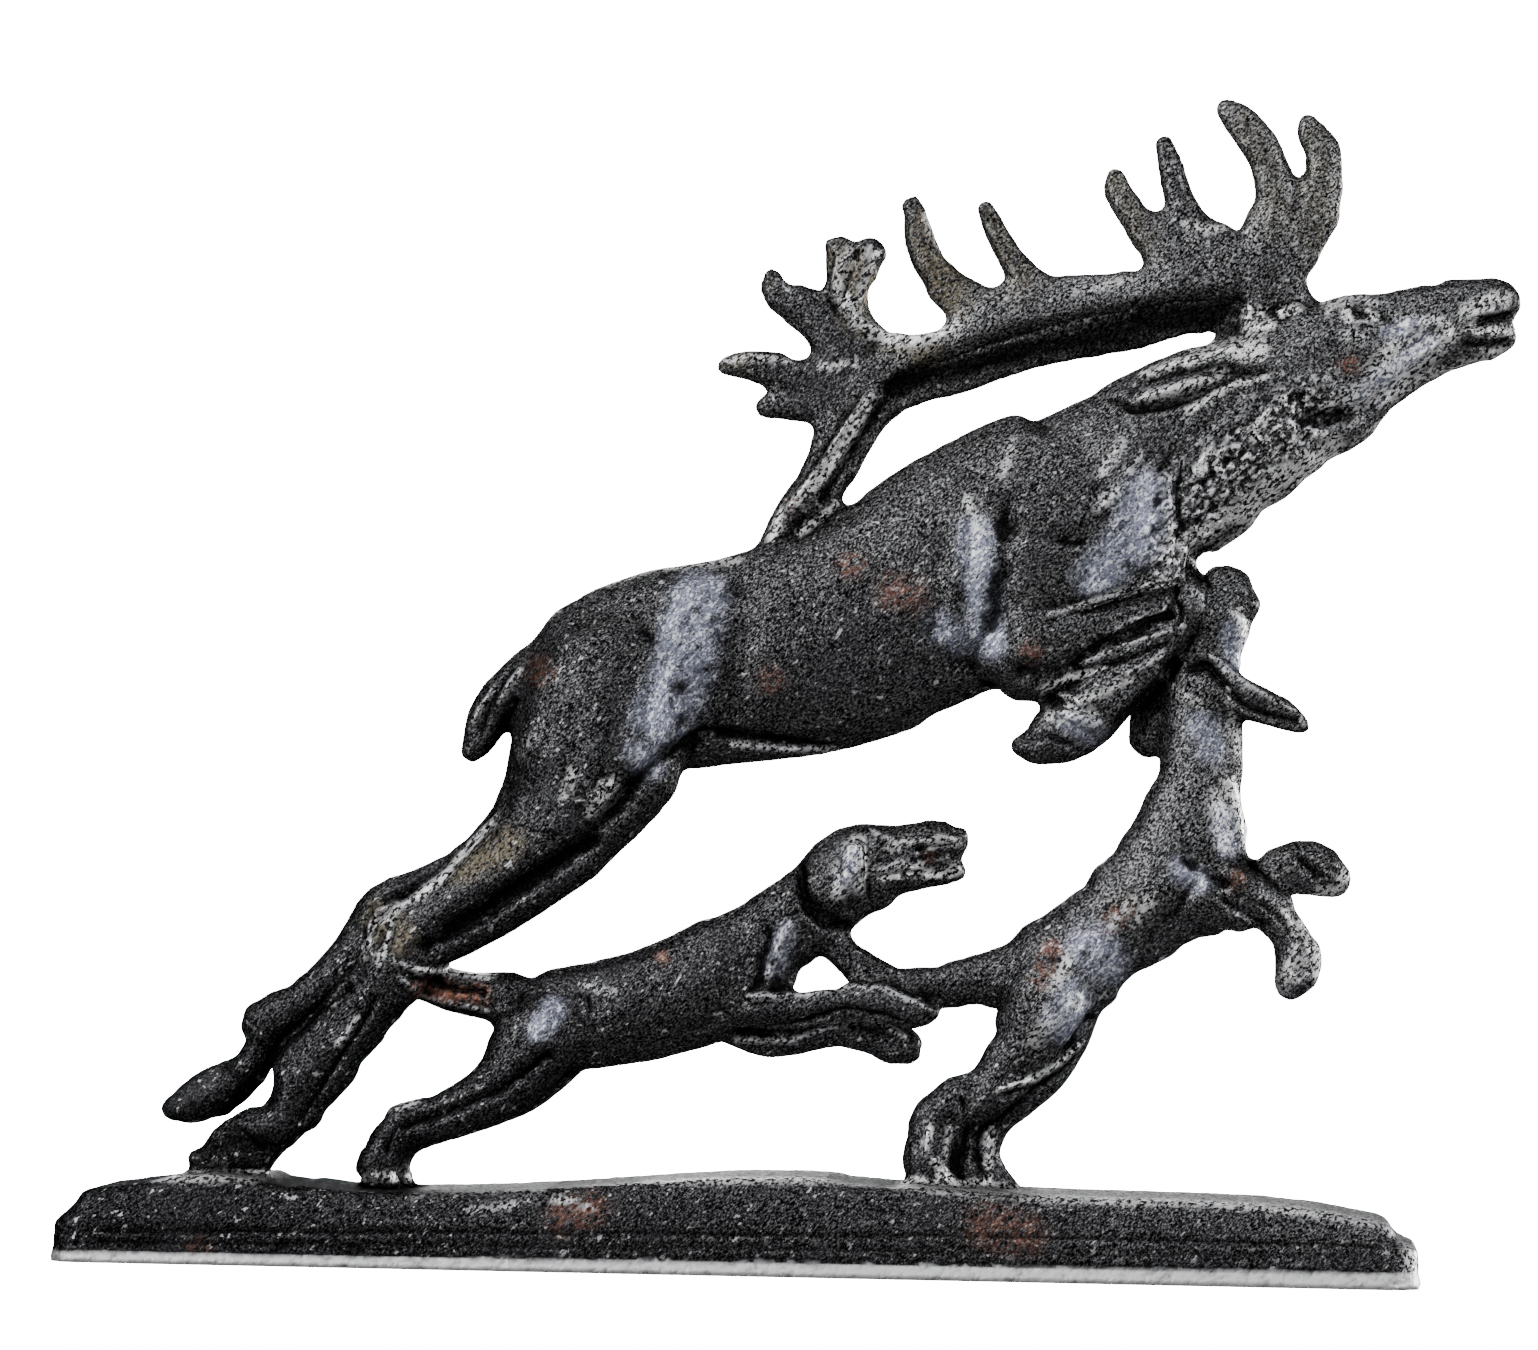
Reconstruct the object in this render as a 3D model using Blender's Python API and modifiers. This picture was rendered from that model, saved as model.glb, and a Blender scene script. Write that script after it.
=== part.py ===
"""Deer and hounds: a leaping stag with two hounds on a long low plinth, cast in one piece of iron.

The group stands along X and faces +X, Z is up, and the origin is the middle of the plinth's underside.
The casting is flatter than life: every form keeps its side outline and is pressed thin across Y.
"""
import math

import bmesh
import bpy
import numpy as np
from mathutils import Vector

MM = 0.001

# Plinth, in millimetres
PLINTH_LENGTH = 354.5
PLINTH_DEPTH = 58.0
PLINTH_HEIGHT = 19.0
CORNER_RADIUS = 9.0

# Foot band round the bottom: an upright edge, then a slope back to the face
FOOT_EDGE = 0.9
FOOT_SLOPE = 2.4
FOOT_STEP = 2.2
FOOT_END_STEP = 1.1

# Two grooves that run round the face
GROOVE_LEVEL = 9.2
GROOVE_WIDTH = 1.8
GROOVE_DEPTH = 1.1
BEAD_LEVEL = 6.8
BEAD_WIDTH = 1.2
BEAD_DEPTH = 0.7

# The face leans in, and its top edge is rounded
SIDE_LEAN = 1.6
END_LEAN = 6.0
TOP_ROUNDING = 3.2

# Low mounds of ground: rise in millimetres, place and half width as shares of the plinth's length
MIDDLE_MOUND = (6.2, 0.035, 0.165)
HOOF_MOUND = (4.2, -0.375, 0.06)
FRONT_MOUND = (2.2, 0.33, 0.14)
LEFT_DROP = 1.0
RIGHT_DROP = 5.4
DROP_START = 0.76

# The animals are drawn on a sheet whose ground line is just above the plinth's general level
GROUP_HEIGHT = 283.0
SHEET_HEIGHT = 283.0
UNIT = GROUP_HEIGHT / SHEET_HEIGHT
GROUND_LINE_RISE = 2.4
GROUP_SETBACK = 0.4

# How far the near and far limbs stand from the middle plane, in sheet units
STAG_SPREAD = 6.5
HOUND_SPREAD = 4.5

# The half thickness that a very broad form would be pressed to, in sheet units
STAG_DEEPEST = 27.0
HOUND_DEEPEST = 22.0
ANTLER_DEEPEST = 9.0

# Skin of the animals, in sheet units: the softening takes about the allowance off every form
VOXEL = 1.3
SMOOTH_PASSES = 3
SMOOTH_STRENGTH = 0.5
SKIN_ALLOWANCE = 0.6
BACK_RELIEF = 0.6
ANIMAL_TRIANGLES = 7700

# A limb's tube, and the dome at its end: reach and width of each ring, as shares of the end's half width
TUBE_ROUND_STEPS = 5
TUBE_STEPS = 6
TUBE_WELD = 0.01
DOME = ((0.62, 0.78), (0.94, 0.3))

# Points round the plinth's plan, and how its face and its rounded top edge are stepped
SIDE_POINTS = 23
CORNER_POINTS = 5
SHARPEST_CORNER = 1.0
FACE_STEPS = (0.5, 1.0)
ROUNDING_ANGLES = (math.pi / 4.0, math.pi / 2.0)

# Blackened iron
IRON_COLOUR = (0.035, 0.034, 0.038, 1.0)
IRON_ROUGHNESS = 0.42
IRON_METALLIC = 0.85

# Stations of the stag, each a distance along, a height above the ground and a half width
STAG_TRUNK = (
    (-55, 128, 11), (-46, 130, 19.6), (-35, 132, 24), (-20, 134.6, 26.6), (-3, 137, 27),
    (19, 142, 29), (39, 150, 30), (57, 160.4, 32.6), (75, 167.6, 35.2), (90, 174, 33.5),
    (102, 184.6, 26.2), (116.6, 194.2, 25), (129, 200.2, 24), (140, 208.6, 20), (150, 212, 18.2),
)
STAG_HEAD = (
    (147, 215, 16), (160, 218.6, 16), (171, 222.9, 12.6), (180, 226.4, 11.4), (187, 228.8, 9.8),
)
STAG_NOSE = ((183, 230.8, 8.4), (190, 232.6, 6.8), (194, 233, 5.8))
STAG_CHIN = ((178, 222.5, 9), (187, 222.4, 5.8), (194.8, 224.4, 4))
STAG_EAR = (
    (133, 215.6, 3.6), (126, 213.4, 5), (117, 210.3, 5.3), (108, 207.4, 4.4), (101, 205.6, 2.8),
    (97, 205, 1.4),
)
STAG_TAIL = ((-55, 136, 4.7), (-62.6, 128, 5.4), (-67.2, 121, 5.3), (-69.8, 115, 4.4), (-71.4, 112.2, 2.8))
NEAR_HIND_LEG = (
    (-34.6, 126, 22), (-38.4, 110, 22.8), (-45.8, 94.6, 16), (-58.6, 81, 12.5), (-73.2, 70.2, 10.8),
    (-85.8, 61.8, 9.6), (-92.4, 50.8, 9), (-101.6, 40.2, 9), (-109.4, 30.8, 8.5), (-115.4, 21.8, 6.7),
    (-118.6, 14.2, 7.2), (-126, 10.2, 8), (-134, 6.6, 6.8), (-138.6, 4.4, 3.8),
)
FAR_HIND_LEG = (
    (-45.6, 114, 16.4), (-53, 97, 12.8), (-63, 86.4, 9.6), (-76, 78.2, 6.8), (-85, 74, 6.8),
    (-93, 70, 8), (-98, 62.2, 7.7), (-105.5, 53.6, 6.7), (-115, 45.6, 6.3), (-123.2, 41.4, 6.7),
    (-126.8, 34, 4.7),
    (-130.3, 27.6, 5.6), (-138.6, 21.6, 6.8), (-146, 18.4, 5.2), (-150, 17.2, 3),
)
FOREARM = ((74, 141.5, 14.5), (88, 146, 11), (101, 151, 7), (111, 155, 5.7), (115, 156, 3.6))
NEAR_CANNON = (
    (113, 151, 4.8), (105, 141, 6.2), (96.5, 131, 7.4), (89, 123, 8.1), (81.8, 118.2, 7.3),
    (76, 116, 4.8), (73, 116, 3),
)
FAR_CANNON = ((113, 150, 4.8), (108.5, 141, 5.4), (106.6, 131, 5.6), (105.6, 123, 5.2), (104.3, 118.5, 4.2))

# Antlers: the beam runs from the brow back and down to the withers, then come its tines
BEAM = (
    (140, 233, 6), (128, 231.8, 6.6), (117, 232.2, 7.4), (96, 229.4, 9.8), (80, 227.6, 10.8),
    (65, 223.6, 11.4), (53, 216.8, 8.9), (43, 214.4, 9.1), (34, 210.4, 10.2), (26.8, 200.2, 8.4),
    (22.4, 189.2, 7), (17.6, 181, 6.2), (12.6, 174, 6), (9.4, 167, 6),
)
TINES = (
    ((26, 209, 6.4), (16, 211.4, 5.4), (7, 213.3, 4.5), (-1, 214.3, 3.8), (-6.5, 214.2, 2.4)),
    ((24, 204, 5.7), (13, 204, 4), (7, 204, 3.6), (4, 203, 2.3)),
    ((26, 218, 7.2), (19.8, 224.8, 6.3), (12.3, 229.8, 4.9), (6.6, 233.7, 3.7), (5.6, 238, 2.2)),
    ((29, 221, 5.7), (26.5, 230, 4.4), (24, 237, 3.8), (23.2, 245.4, 3.5)),
    ((30.5, 222, 5), (27.8, 231, 3.8), (28.6, 238, 4.2), (30.9, 244, 4.3)),
    ((63, 226, 8.4), (56, 232.4, 5.2), (50.2, 237.2, 4.6), (46, 243.5, 4.3), (43.5, 250, 3.8),
     (42.5, 255.4, 2.9)),
    ((80, 230, 7.4), (72, 237.4, 4.2), (68, 243.2, 3.3), (63.8, 250.3, 3), (61.8, 255.2, 2.4)),
    ((112, 239, 7.8), (107.6, 247.2, 5.9), (101.5, 253.2, 4.5), (96.5, 259.2, 3.6), (95.2, 264.5, 2.4)),
    ((123, 241, 9), (114, 253, 4.8), (110.8, 261, 3.6), (109.2, 267.4, 3.2), (107.5, 273.2, 2.5)),
    ((134, 241, 9.6), (136.4, 250, 7.8), (136.9, 258, 5.6), (135.5, 266, 4.8), (131.8, 273.8, 4.9),
     (126.6, 279.6, 4.4), (123.2, 282.3, 3)),
    ((138, 238, 6.2), (141.7, 247, 6.1), (147.1, 257, 6), (149, 266, 5), (148.2, 273, 4.5),
     (145.5, 277.6, 2.9)),
)

# Front hound, rearing at the stag's chest
REARING_TRUNK = (
    (79, 56, 12), (86.8, 60.9, 14.5), (96.2, 68.6, 13.4), (105.2, 74.8, 14.4), (112.7, 81, 16.6),
    (116.3, 91, 16.2), (117.4, 99, 13.6), (119, 107, 10.4), (119.5, 116, 10.4), (119.2, 127, 10.1),
    (120.4, 140, 8.6), (122.8, 149, 9.8), (125, 155, 8.8), (125.6, 158.6, 5),
)
REARING_NEAR_HIND = (
    (80, 51, 10.6), (74, 36.5, 7.8), (65.4, 26, 6), (53.8, 20.2, 6.5), (51.2, 13, 6.4),
    (50.2, 6, 6.4), (55, 1.5, 5), (59, 0.5, 3),
)
REARING_FAR_HIND = (
    (84.8, 48.5, 9.4), (81.3, 35, 6.8), (72, 25, 6.2), (65, 18, 5.8), (62.8, 10, 5.4),
    (64, 4.5, 5.8), (69.2, 1.2, 4),
)
REARING_SHANKS = ((66, 27, 5), (59, 17, 4.6), (57, 9, 5), (58.5, 2, 5))
REARING_NEAR_FORE = (
    (122, 79.6, 9.8), (130, 77.6, 7.8), (137.4, 73.8, 5.8), (142.8, 68, 5.6), (145.2, 62, 5.9),
    (144.4, 57.6, 5.7), (143.3, 55.3, 4.3),
)
REARING_FAR_FORE = (
    (127, 79.5, 6.6), (135, 81.6, 6), (141.4, 85.4, 5.8), (147.4, 86, 6.5), (152, 83.6, 6.2),
    (154, 82.4, 4.6),
)
REARING_TAIL = (
    (71, 56.6, 6.9), (64, 54.7, 6), (56, 53.6, 5), (48, 53.3, 4.4), (40, 53.8, 4),
    (34, 56.6, 4.1), (28, 60.4, 4), (23, 64.3, 3.2),
)
REARING_NEAR_EAR = (
    (123, 132, 4.6), (130.6, 129.2, 5.2), (138, 126, 4.3), (142.6, 123.5, 3.2), (145.4, 122, 2.1),
)
REARING_FAR_EAR = ((114, 133, 3.4), (110.2, 128, 5), (106.8, 122, 5.6), (105.4, 117.4, 4))

# Rear hound, running below the stag
RUNNING_TRUNK = (
    (-57, 44.5, 8), (-51, 43.6, 12.4), (-39, 43.9, 13.8), (-27, 46.2, 14.2), (-14, 50.4, 15),
    (-2.2, 56.2, 15.6), (5.8, 62.6, 12.2), (14.9, 70.6, 10.4), (23, 77.4, 10.6), (29, 83, 11.2),
    (36, 85.3, 10),
)
RUNNING_UPPER_JAW = ((33, 87, 7.3), (42, 89, 5.6), (50, 91, 5), (54.2, 91.2, 4.4), (55.6, 91.4, 3.2))
RUNNING_LOWER_JAW = ((33, 79.6, 7), (42, 80.6, 4.2), (50, 81.6, 3.3), (55.8, 82, 2.7))
RUNNING_MOUTH = ((40, 85, 2.6), (48, 86, 2.8), (54.6, 86.6, 2.4))
RUNNING_NEAR_HIND = (
    (-52.8, 36.8, 11.2), (-61.4, 25.2, 8.2), (-71.6, 18.9, 6.7), (-81, 15.2, 5.5), (-88.4, 13.1, 5.4),
    (-92.3, 8, 5.3), (-93.4, 3, 5.3), (-91.4, 0, 3.6), (-89.5, -1.5, 2.2),
)
RUNNING_FAR_HIND = (
    (-46.6, 36.6, 9), (-54, 25.5, 5.6), (-67, 18, 4.2), (-80, 13, 3.6), (-87.4, 8.4, 2.8),
    (-89.4, 2, 3.2), (-87, -1, 2.2),
)
RUNNING_NEAR_FORE = (
    (1, 48.5, 6.6), (13, 46, 4.6), (25, 47.4, 4.3), (34, 48.3, 4.5), (43, 46.8, 4.3),
    (49, 45.6, 3.2), (50.8, 46, 1.8),
)
RUNNING_FAR_FORE = (
    (-1, 43, 6.2), (7, 38.5, 4.6), (16, 39, 4), (25, 41, 4), (34, 39.6, 4.2),
    (41, 38, 4.6), (43.8, 36.9, 3.6),
)
RUNNING_TAIL = (
    (-59, 48.2, 6.6), (-68, 48.8, 5.9), (-74, 49.7, 5.4), (-81, 51.7, 4.9), (-87, 54.4, 4.5), (-93, 58, 3.8),
)

# Carving on the broad sides: width and depth of each stroke, then its line; a negative depth is a ridge
STAG_CARVING = (
    (3.0, 1.8, ((35, 116), (-4, 116), (-14, 113), (-24, 106), (-34, 97))),
    (4.5, 2.2, ((-37, 88), (-55, 77), (-76, 66))),
    (3.5, -1.4, ((-38, 101), (-36, 98))),
    (3.5, -1.1, ((-92, 72), (-96, 61))),
    (2.4, 1.2, ((-98, 54), (-107, 42), (-114, 30))),
    (8.0, -1.3, ((-14, 152), (-22, 129), (-25, 111))),
    (11.0, 0.8, ((0, 155), (-2, 125))),
    (6.0, -1.4, ((58, 179), (56, 143))),
    (6.0, 1.3, ((68, 176), (66, 154), (64, 135))),
    (4.0, 1.3, ((66, 172), (87, 168))),
    (9.0, -1.4, ((98, 192), (104, 165))),
    (2.4, -1.4, ((89, 155), (102, 158), (114, 162))),
    (2.0, 2.0, ((86, 151), (95, 154), (113, 158))),
    (2.4, 2.0, ((88, 138), (100, 144), (112, 151))),
    (3.0, 1.4, ((156, 206), (167, 209), (179, 220))),
    (4.0, 1.8, ((143, 206), (151, 201), (162, 204))),
    (2.0, 1.8, ((101, 208), (112, 212.5), (126, 214))),
    (1.6, 1.4, ((102, 203.5), (115, 205), (128, 209))),
    (2.2, -1.6, ((158.5, 230.3), (159.5, 230.2))),
    (1.6, 1.1, ((153, 227), (159, 226), (165, 228))),
    (1.7, 2.0, ((201, 228), (192, 228), (183, 226))),
    (1.6, 1.4, ((194, 233), (197, 232))),
    (4.4, 2.0, ((125, 228.5), (104, 226), (81, 221), (55, 212), (40, 207))),
    (2.4, -1.2, ((37, 209), (26, 197), (19, 184), (12, 176))),
    (2.0, -1.3, ((129, 232), (130, 227), (134, 225))),
)
HOUND_CARVING = (
    (2.2, 1.7, ((15, 83), (18, 74), (28, 68))),
    (3.6, -1.6, ((29, 86), (28, 78))),
    (1.6, 1.2, ((33, 88), (33, 78), (28, 73))),
    (1.6, -1.1, ((36, 91), (37, 90.8))),
    (3.0, 1.4, ((8, 67), (5, 52), (-1, 45))),
    (1.8, 1.6, ((0, 42), (26, 44.5), (43, 41))),
    (3.0, 1.2, ((-39, 49), (-36, 34))),
    (6.0, -1.2, ((89, 65), (83, 44))),
    (3.0, 1.2, ((96, 63), (93, 49))),
    (3.0, 1.2, ((119, 82), (113, 73), (106, 67))),
    (2.0, 1.4, ((122, 87), (130, 78), (138, 68))),
    (1.8, 1.7, ((118, 138), (125, 132), (137, 125))),
    (1.8, 1.2, ((64, 29), (57, 21), (57, 3))),
)

# Mane on the throat: rows of short wavy locks that hang towards the chest
MANE_START = (146.0, 201.0)
MANE_ALONG = (-5.6, -5.4)
MANE_ACROSS = (-4.4, 3.4)
MANE_ROWS = 4
MANE_LOCKS = 7
LOCK_LENGTH = 6.0
LOCK_WAVE = 1.1
LOCK_WIDTH = 1.5
LOCK_DEPTH = 1.0


def clear_scene():
    """Remove every object, so that the model starts from nothing."""
    for obj in list(bpy.data.objects):
        bpy.data.objects.remove(obj, do_unlink=True)


def new_object(name, mesh, collection):
    """Put a mesh in a collection as a named object."""
    obj = bpy.data.objects.new(name, mesh)
    collection.objects.link(obj)
    return obj


def half_thickness(half_width, deepest):
    """A slim form stays nearly round, and a broad one is pressed towards a flat slab."""
    return half_width / (1.0 + half_width / deepest)


def nearest_half_width(point, stations):
    """The limb's half width at the place on its centre line nearest to a point of the side view."""
    best = None
    for (x0, z0, r0), (x1, z1, r1) in zip(stations, stations[1:]):
        start = Vector((x0, z0))
        along = Vector((x1 - x0, z1 - z0))
        share = (point - start).dot(along) / max(along.length_squared, 1e-9)
        share = min(max(share, 0.0), 1.0)
        gap = (point - start - along * share).length
        if best is None or gap < best[0]:
            best = (gap, r0 + (r1 - r0) * share)
    return best[1]


def round_end(end, inner):
    """Two stations that close a limb's end as a dome, past the end station."""
    away = Vector((end[0] - inner[0], end[1] - inner[1])).normalized()
    dome = []
    for reach, width in DOME:
        dome.append((end[0] + away.x * end[2] * reach, end[1] + away.y * end[2] * reach, end[2] * width))
    return dome


def with_round_ends(stations):
    """The stations, grown by the skin allowance, with a dome past each end."""
    grown = [(x, z, half_width + SKIN_ALLOWANCE) for x, z, half_width in stations]
    start = round_end(grown[0], grown[1])
    finish = round_end(grown[-1], grown[-2])
    return list(reversed(start)) + grown + finish


def limb(stations, side, deepest, collection):
    """A smooth tapering tube through the stations, pressed flat across Y, as a closed mesh object."""
    stations = with_round_ends(stations)
    curve = bpy.data.curves.new("limb", "CURVE")
    curve.dimensions = "3D"
    curve.bevel_depth = 1.0
    curve.bevel_resolution = TUBE_ROUND_STEPS
    curve.resolution_u = TUBE_STEPS
    curve.use_fill_caps = True
    spline = curve.splines.new("BEZIER")
    spline.bezier_points.add(len(stations) - 1)
    for point, (x, z, half_width) in zip(spline.bezier_points, stations):
        point.co = (x, 0.0, z)
        point.radius = half_width
        point.handle_left_type = "AUTO"
        point.handle_right_type = "AUTO"
    tube = new_object("limb", curve, collection)
    mesh = evaluated_mesh(tube)
    bpy.data.objects.remove(tube)
    bm = bmesh.new()
    bm.from_mesh(mesh)
    bmesh.ops.remove_doubles(bm, verts=bm.verts, dist=TUBE_WELD)
    for vert in bm.verts:
        half_width = nearest_half_width(Vector((vert.co.x, vert.co.z)), stations)
        press = half_thickness(half_width, deepest) / half_width
        vert.co = Vector((vert.co.x, side + vert.co.y * press, vert.co.z))
    bmesh.ops.recalc_face_normals(bm, faces=bm.faces)
    bm.to_mesh(mesh)
    bm.free()
    return new_object("limb", mesh, collection)


def stag_limbs(collection):
    """The stag's trunk, head, ears, tail and legs."""
    near = -STAG_SPREAD
    far = STAG_SPREAD
    plan = (
        (STAG_TRUNK, 0.0), (STAG_HEAD, 0.0), (STAG_NOSE, 0.0), (STAG_CHIN, 0.0), (STAG_TAIL, 0.0),
        (STAG_EAR, near), (STAG_EAR, far),
        (NEAR_HIND_LEG, near), (FAR_HIND_LEG, far),
        (FOREARM, near), (NEAR_CANNON, near), (FOREARM, far), (FAR_CANNON, far),
    )
    return [limb(stations, side, STAG_DEEPEST, collection) for stations, side in plan]


def antler_limbs(collection):
    """The beam and the tines, all in one flat spray."""
    return [limb(stations, 0.0, ANTLER_DEEPEST, collection) for stations in (BEAM,) + TINES]


def hound_limbs(collection):
    """Both hounds."""
    near = -HOUND_SPREAD
    far = HOUND_SPREAD
    plan = (
        (REARING_TRUNK, 0.0), (REARING_NEAR_HIND, near), (REARING_FAR_HIND, far),
        (REARING_SHANKS, 0.0), (REARING_TAIL, 0.0), (REARING_NEAR_FORE, near), (REARING_FAR_FORE, far),
        (REARING_NEAR_EAR, near), (REARING_FAR_EAR, far),
        (RUNNING_TRUNK, 0.0), (RUNNING_UPPER_JAW, 0.0), (RUNNING_LOWER_JAW, 0.0), (RUNNING_MOUTH, 0.0),
        (RUNNING_NEAR_HIND, near), (RUNNING_FAR_HIND, far),
        (RUNNING_NEAR_FORE, near), (RUNNING_FAR_FORE, far), (RUNNING_TAIL, 0.0),
    )
    return [limb(stations, side, HOUND_DEEPEST, collection) for stations, side in plan]


def joined(objects, collection):
    """All the closed forms in one mesh, still overlapping."""
    bm = bmesh.new()
    for obj in objects:
        bm.from_mesh(obj.data)
        bpy.data.objects.remove(obj)
    mesh = bpy.data.meshes.new("animals")
    bm.to_mesh(mesh)
    bm.free()
    return new_object("animals", mesh, collection)


def evaluated_mesh(obj):
    """The object's mesh as its modifiers or its bevel make it."""
    evaluated = obj.evaluated_get(bpy.context.evaluated_depsgraph_get())
    return bpy.data.meshes.new_from_object(evaluated)


def bake(obj):
    """Replace the object's mesh by its modified one, and drop the modifiers."""
    mesh = evaluated_mesh(obj)
    obj.modifiers.clear()
    obj.data = mesh


def fuse(obj):
    """Grow the overlapping forms into one skin, and soften the joins."""
    remesh = obj.modifiers.new("skin", "REMESH")
    remesh.mode = "VOXEL"
    remesh.voxel_size = VOXEL
    smooth = obj.modifiers.new("soften", "SMOOTH")
    smooth.factor = SMOOTH_STRENGTH
    smooth.iterations = SMOOTH_PASSES
    bake(obj)


def mane_carving():
    """The grooves between the locks of the mane, row by row, each an S of three points."""
    strokes = []
    along = Vector(MANE_ALONG)
    across = Vector(MANE_ACROSS)
    hang = along.normalized() * LOCK_LENGTH
    sway = across.normalized() * LOCK_WAVE
    for row in range(MANE_ROWS):
        for lock in range(MANE_LOCKS):
            shift = 0.5 * (row % 2)
            top = Vector(MANE_START) + along * (lock + shift) + across * row
            points = (top, top + hang * 0.5 + sway, top + hang)
            strokes.append((LOCK_WIDTH, LOCK_DEPTH, tuple((point.x, point.y) for point in points)))
    return tuple(strokes)


def distance_to_line(places, points):
    """Distance in the side view from each place to a line of points."""
    nearest = np.full(len(places), 1e9)
    for start, end in zip(points, points[1:]):
        start = np.array(start, dtype=float)
        along = np.array(end, dtype=float) - start
        share = np.clip((places - start) @ along / max(along @ along, 1e-9), 0.0, 1.0)
        gap = np.linalg.norm(places - start - share[:, None] * along, axis=1)
        nearest = np.minimum(nearest, gap)
    return nearest


def carve(obj, strokes):
    """Sink grooves and raise ridges on the sides that face along Y; the back gets them more faintly."""
    mesh = obj.data
    count = len(mesh.vertices)
    places = np.empty(count * 3, dtype=np.float32)
    normals = np.empty(count * 3, dtype=np.float32)
    mesh.vertices.foreach_get("co", places)
    mesh.vertices.foreach_get("normal", normals)
    places = places.reshape(count, 3)
    normals = normals.reshape(count, 3)
    strength = np.abs(normals[:, 1]) * np.where(normals[:, 1] > 0.0, BACK_RELIEF, 1.0)
    push = np.zeros(count)
    for width, depth, points in strokes:
        gap = distance_to_line(places[:, (0, 2)], points)
        push += depth * np.clip(1.0 - (gap / width) ** 2, 0.0, None) ** 2
    places -= normals * (push * strength)[:, None]
    mesh.vertices.foreach_set("co", places.ravel())
    mesh.update()


def thin_out(obj, triangles):
    """Keep only as many triangles as the forms need."""
    now = sum(len(polygon.vertices) - 2 for polygon in obj.data.polygons)
    decimate = obj.modifiers.new("thin out", "DECIMATE")
    decimate.ratio = triangles / now
    decimate.use_collapse_triangulate = True
    bake(obj)


def ground(x):
    """Height of the plinth's top at a distance along it: low mounds, and a fall at both ends."""
    level = PLINTH_HEIGHT
    for rise, place, half_width in (MIDDLE_MOUND, HOOF_MOUND, FRONT_MOUND):
        offset = (x / PLINTH_LENGTH - place) / half_width
        level += rise * math.exp(-offset * offset)
    past = max(0.0, abs(x) / (PLINTH_LENGTH / 2.0) - DROP_START) / (1.0 - DROP_START)
    return level - (RIGHT_DROP if x > 0.0 else LEFT_DROP) * past * past


def plan_outline(half_length, half_depth, radius):
    """A rectangle with rounded corners, as points that pair up front and back."""
    straight = half_length - radius
    front = [(-half_length, radius - half_depth)]
    for step in range(CORNER_POINTS, 0, -1):
        angle = math.pi / 2.0 * step / (CORNER_POINTS + 1)
        front.append((-straight - radius * math.sin(angle), -half_depth + radius * (1.0 - math.cos(angle))))
    for step in range(SIDE_POINTS):
        front.append((straight * (2.0 * step / (SIDE_POINTS - 1) - 1.0), -half_depth))
    right = [(-x, y) for x, y in reversed(front[:CORNER_POINTS + 1])]
    front += right
    return front + [(x, -y) for x, y in reversed(front)]


def moulded_levels():
    """Level, end inset and side inset of each line of the foot and the grooves, from the underside up."""
    lines = [(0.0, 0.0, 0.0), (FOOT_EDGE, 0.0, 0.0), (FOOT_EDGE + FOOT_SLOPE, FOOT_END_STEP, FOOT_STEP)]
    for level, width, depth in (
            (BEAD_LEVEL, BEAD_WIDTH, BEAD_DEPTH),
            (GROOVE_LEVEL, GROOVE_WIDTH, GROOVE_DEPTH)):
        lines.append((level - width / 2.0, FOOT_END_STEP, FOOT_STEP))
        lines.append((level, FOOT_END_STEP + depth, FOOT_STEP + depth))
        lines.append((level + width / 2.0, FOOT_END_STEP, FOOT_STEP))
    return lines


def plinth(collection):
    """The plinth: a moulded side round a rounded plan, under gently mounded ground."""
    face_bottom = GROOVE_LEVEL + GROOVE_WIDTH / 2.0
    bm = bmesh.new()
    rings = []

    def add_ring(end_inset, side_inset, level_at):
        radius = max(CORNER_RADIUS - side_inset, SHARPEST_CORNER)
        outline = plan_outline(PLINTH_LENGTH / 2.0 - end_inset, PLINTH_DEPTH / 2.0 - side_inset, radius)
        rings.append([bm.verts.new((x, y, level_at(x))) for x, y in outline])

    def shoulder(x):
        return ground(x) - TOP_ROUNDING

    for level, end_inset, side_inset in moulded_levels():
        add_ring(end_inset, side_inset, lambda x, level=level: level)
    for rise in FACE_STEPS:
        add_ring(FOOT_END_STEP + END_LEAN * rise, FOOT_STEP + SIDE_LEAN * rise,
                 lambda x, rise=rise: face_bottom + (shoulder(x) - face_bottom) * rise)
    for angle in ROUNDING_ANGLES:
        out = TOP_ROUNDING * (1.0 - math.cos(angle))
        up = TOP_ROUNDING * math.sin(angle)
        add_ring(FOOT_END_STEP + END_LEAN + out, FOOT_STEP + SIDE_LEAN + out,
                 lambda x, up=up: shoulder(x) + up)
    count = len(rings[0])
    for lower, upper in zip(rings, rings[1:]):
        for i in range(count):
            j = (i + 1) % count
            bm.faces.new((lower[i], lower[j], upper[j], upper[i]))
    for ring in (rings[0], rings[-1]):
        for i in range(count // 2 - 1):
            bm.faces.new((ring[i], ring[i + 1], ring[count - 2 - i], ring[count - 1 - i]))
    bmesh.ops.recalc_face_normals(bm, faces=bm.faces)
    mesh = bpy.data.meshes.new("plinth")
    bm.to_mesh(mesh)
    bm.free()
    return new_object("plinth", mesh, collection)


def cast_iron():
    """Blackened iron with a low sheen."""
    material = bpy.data.materials.new("blackened_cast_iron")
    material.use_nodes = True
    shader = material.node_tree.nodes["Principled BSDF"]
    shader.inputs["Base Color"].default_value = IRON_COLOUR
    shader.inputs["Roughness"].default_value = IRON_ROUGHNESS
    shader.inputs["Metallic"].default_value = IRON_METALLIC
    return material


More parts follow.
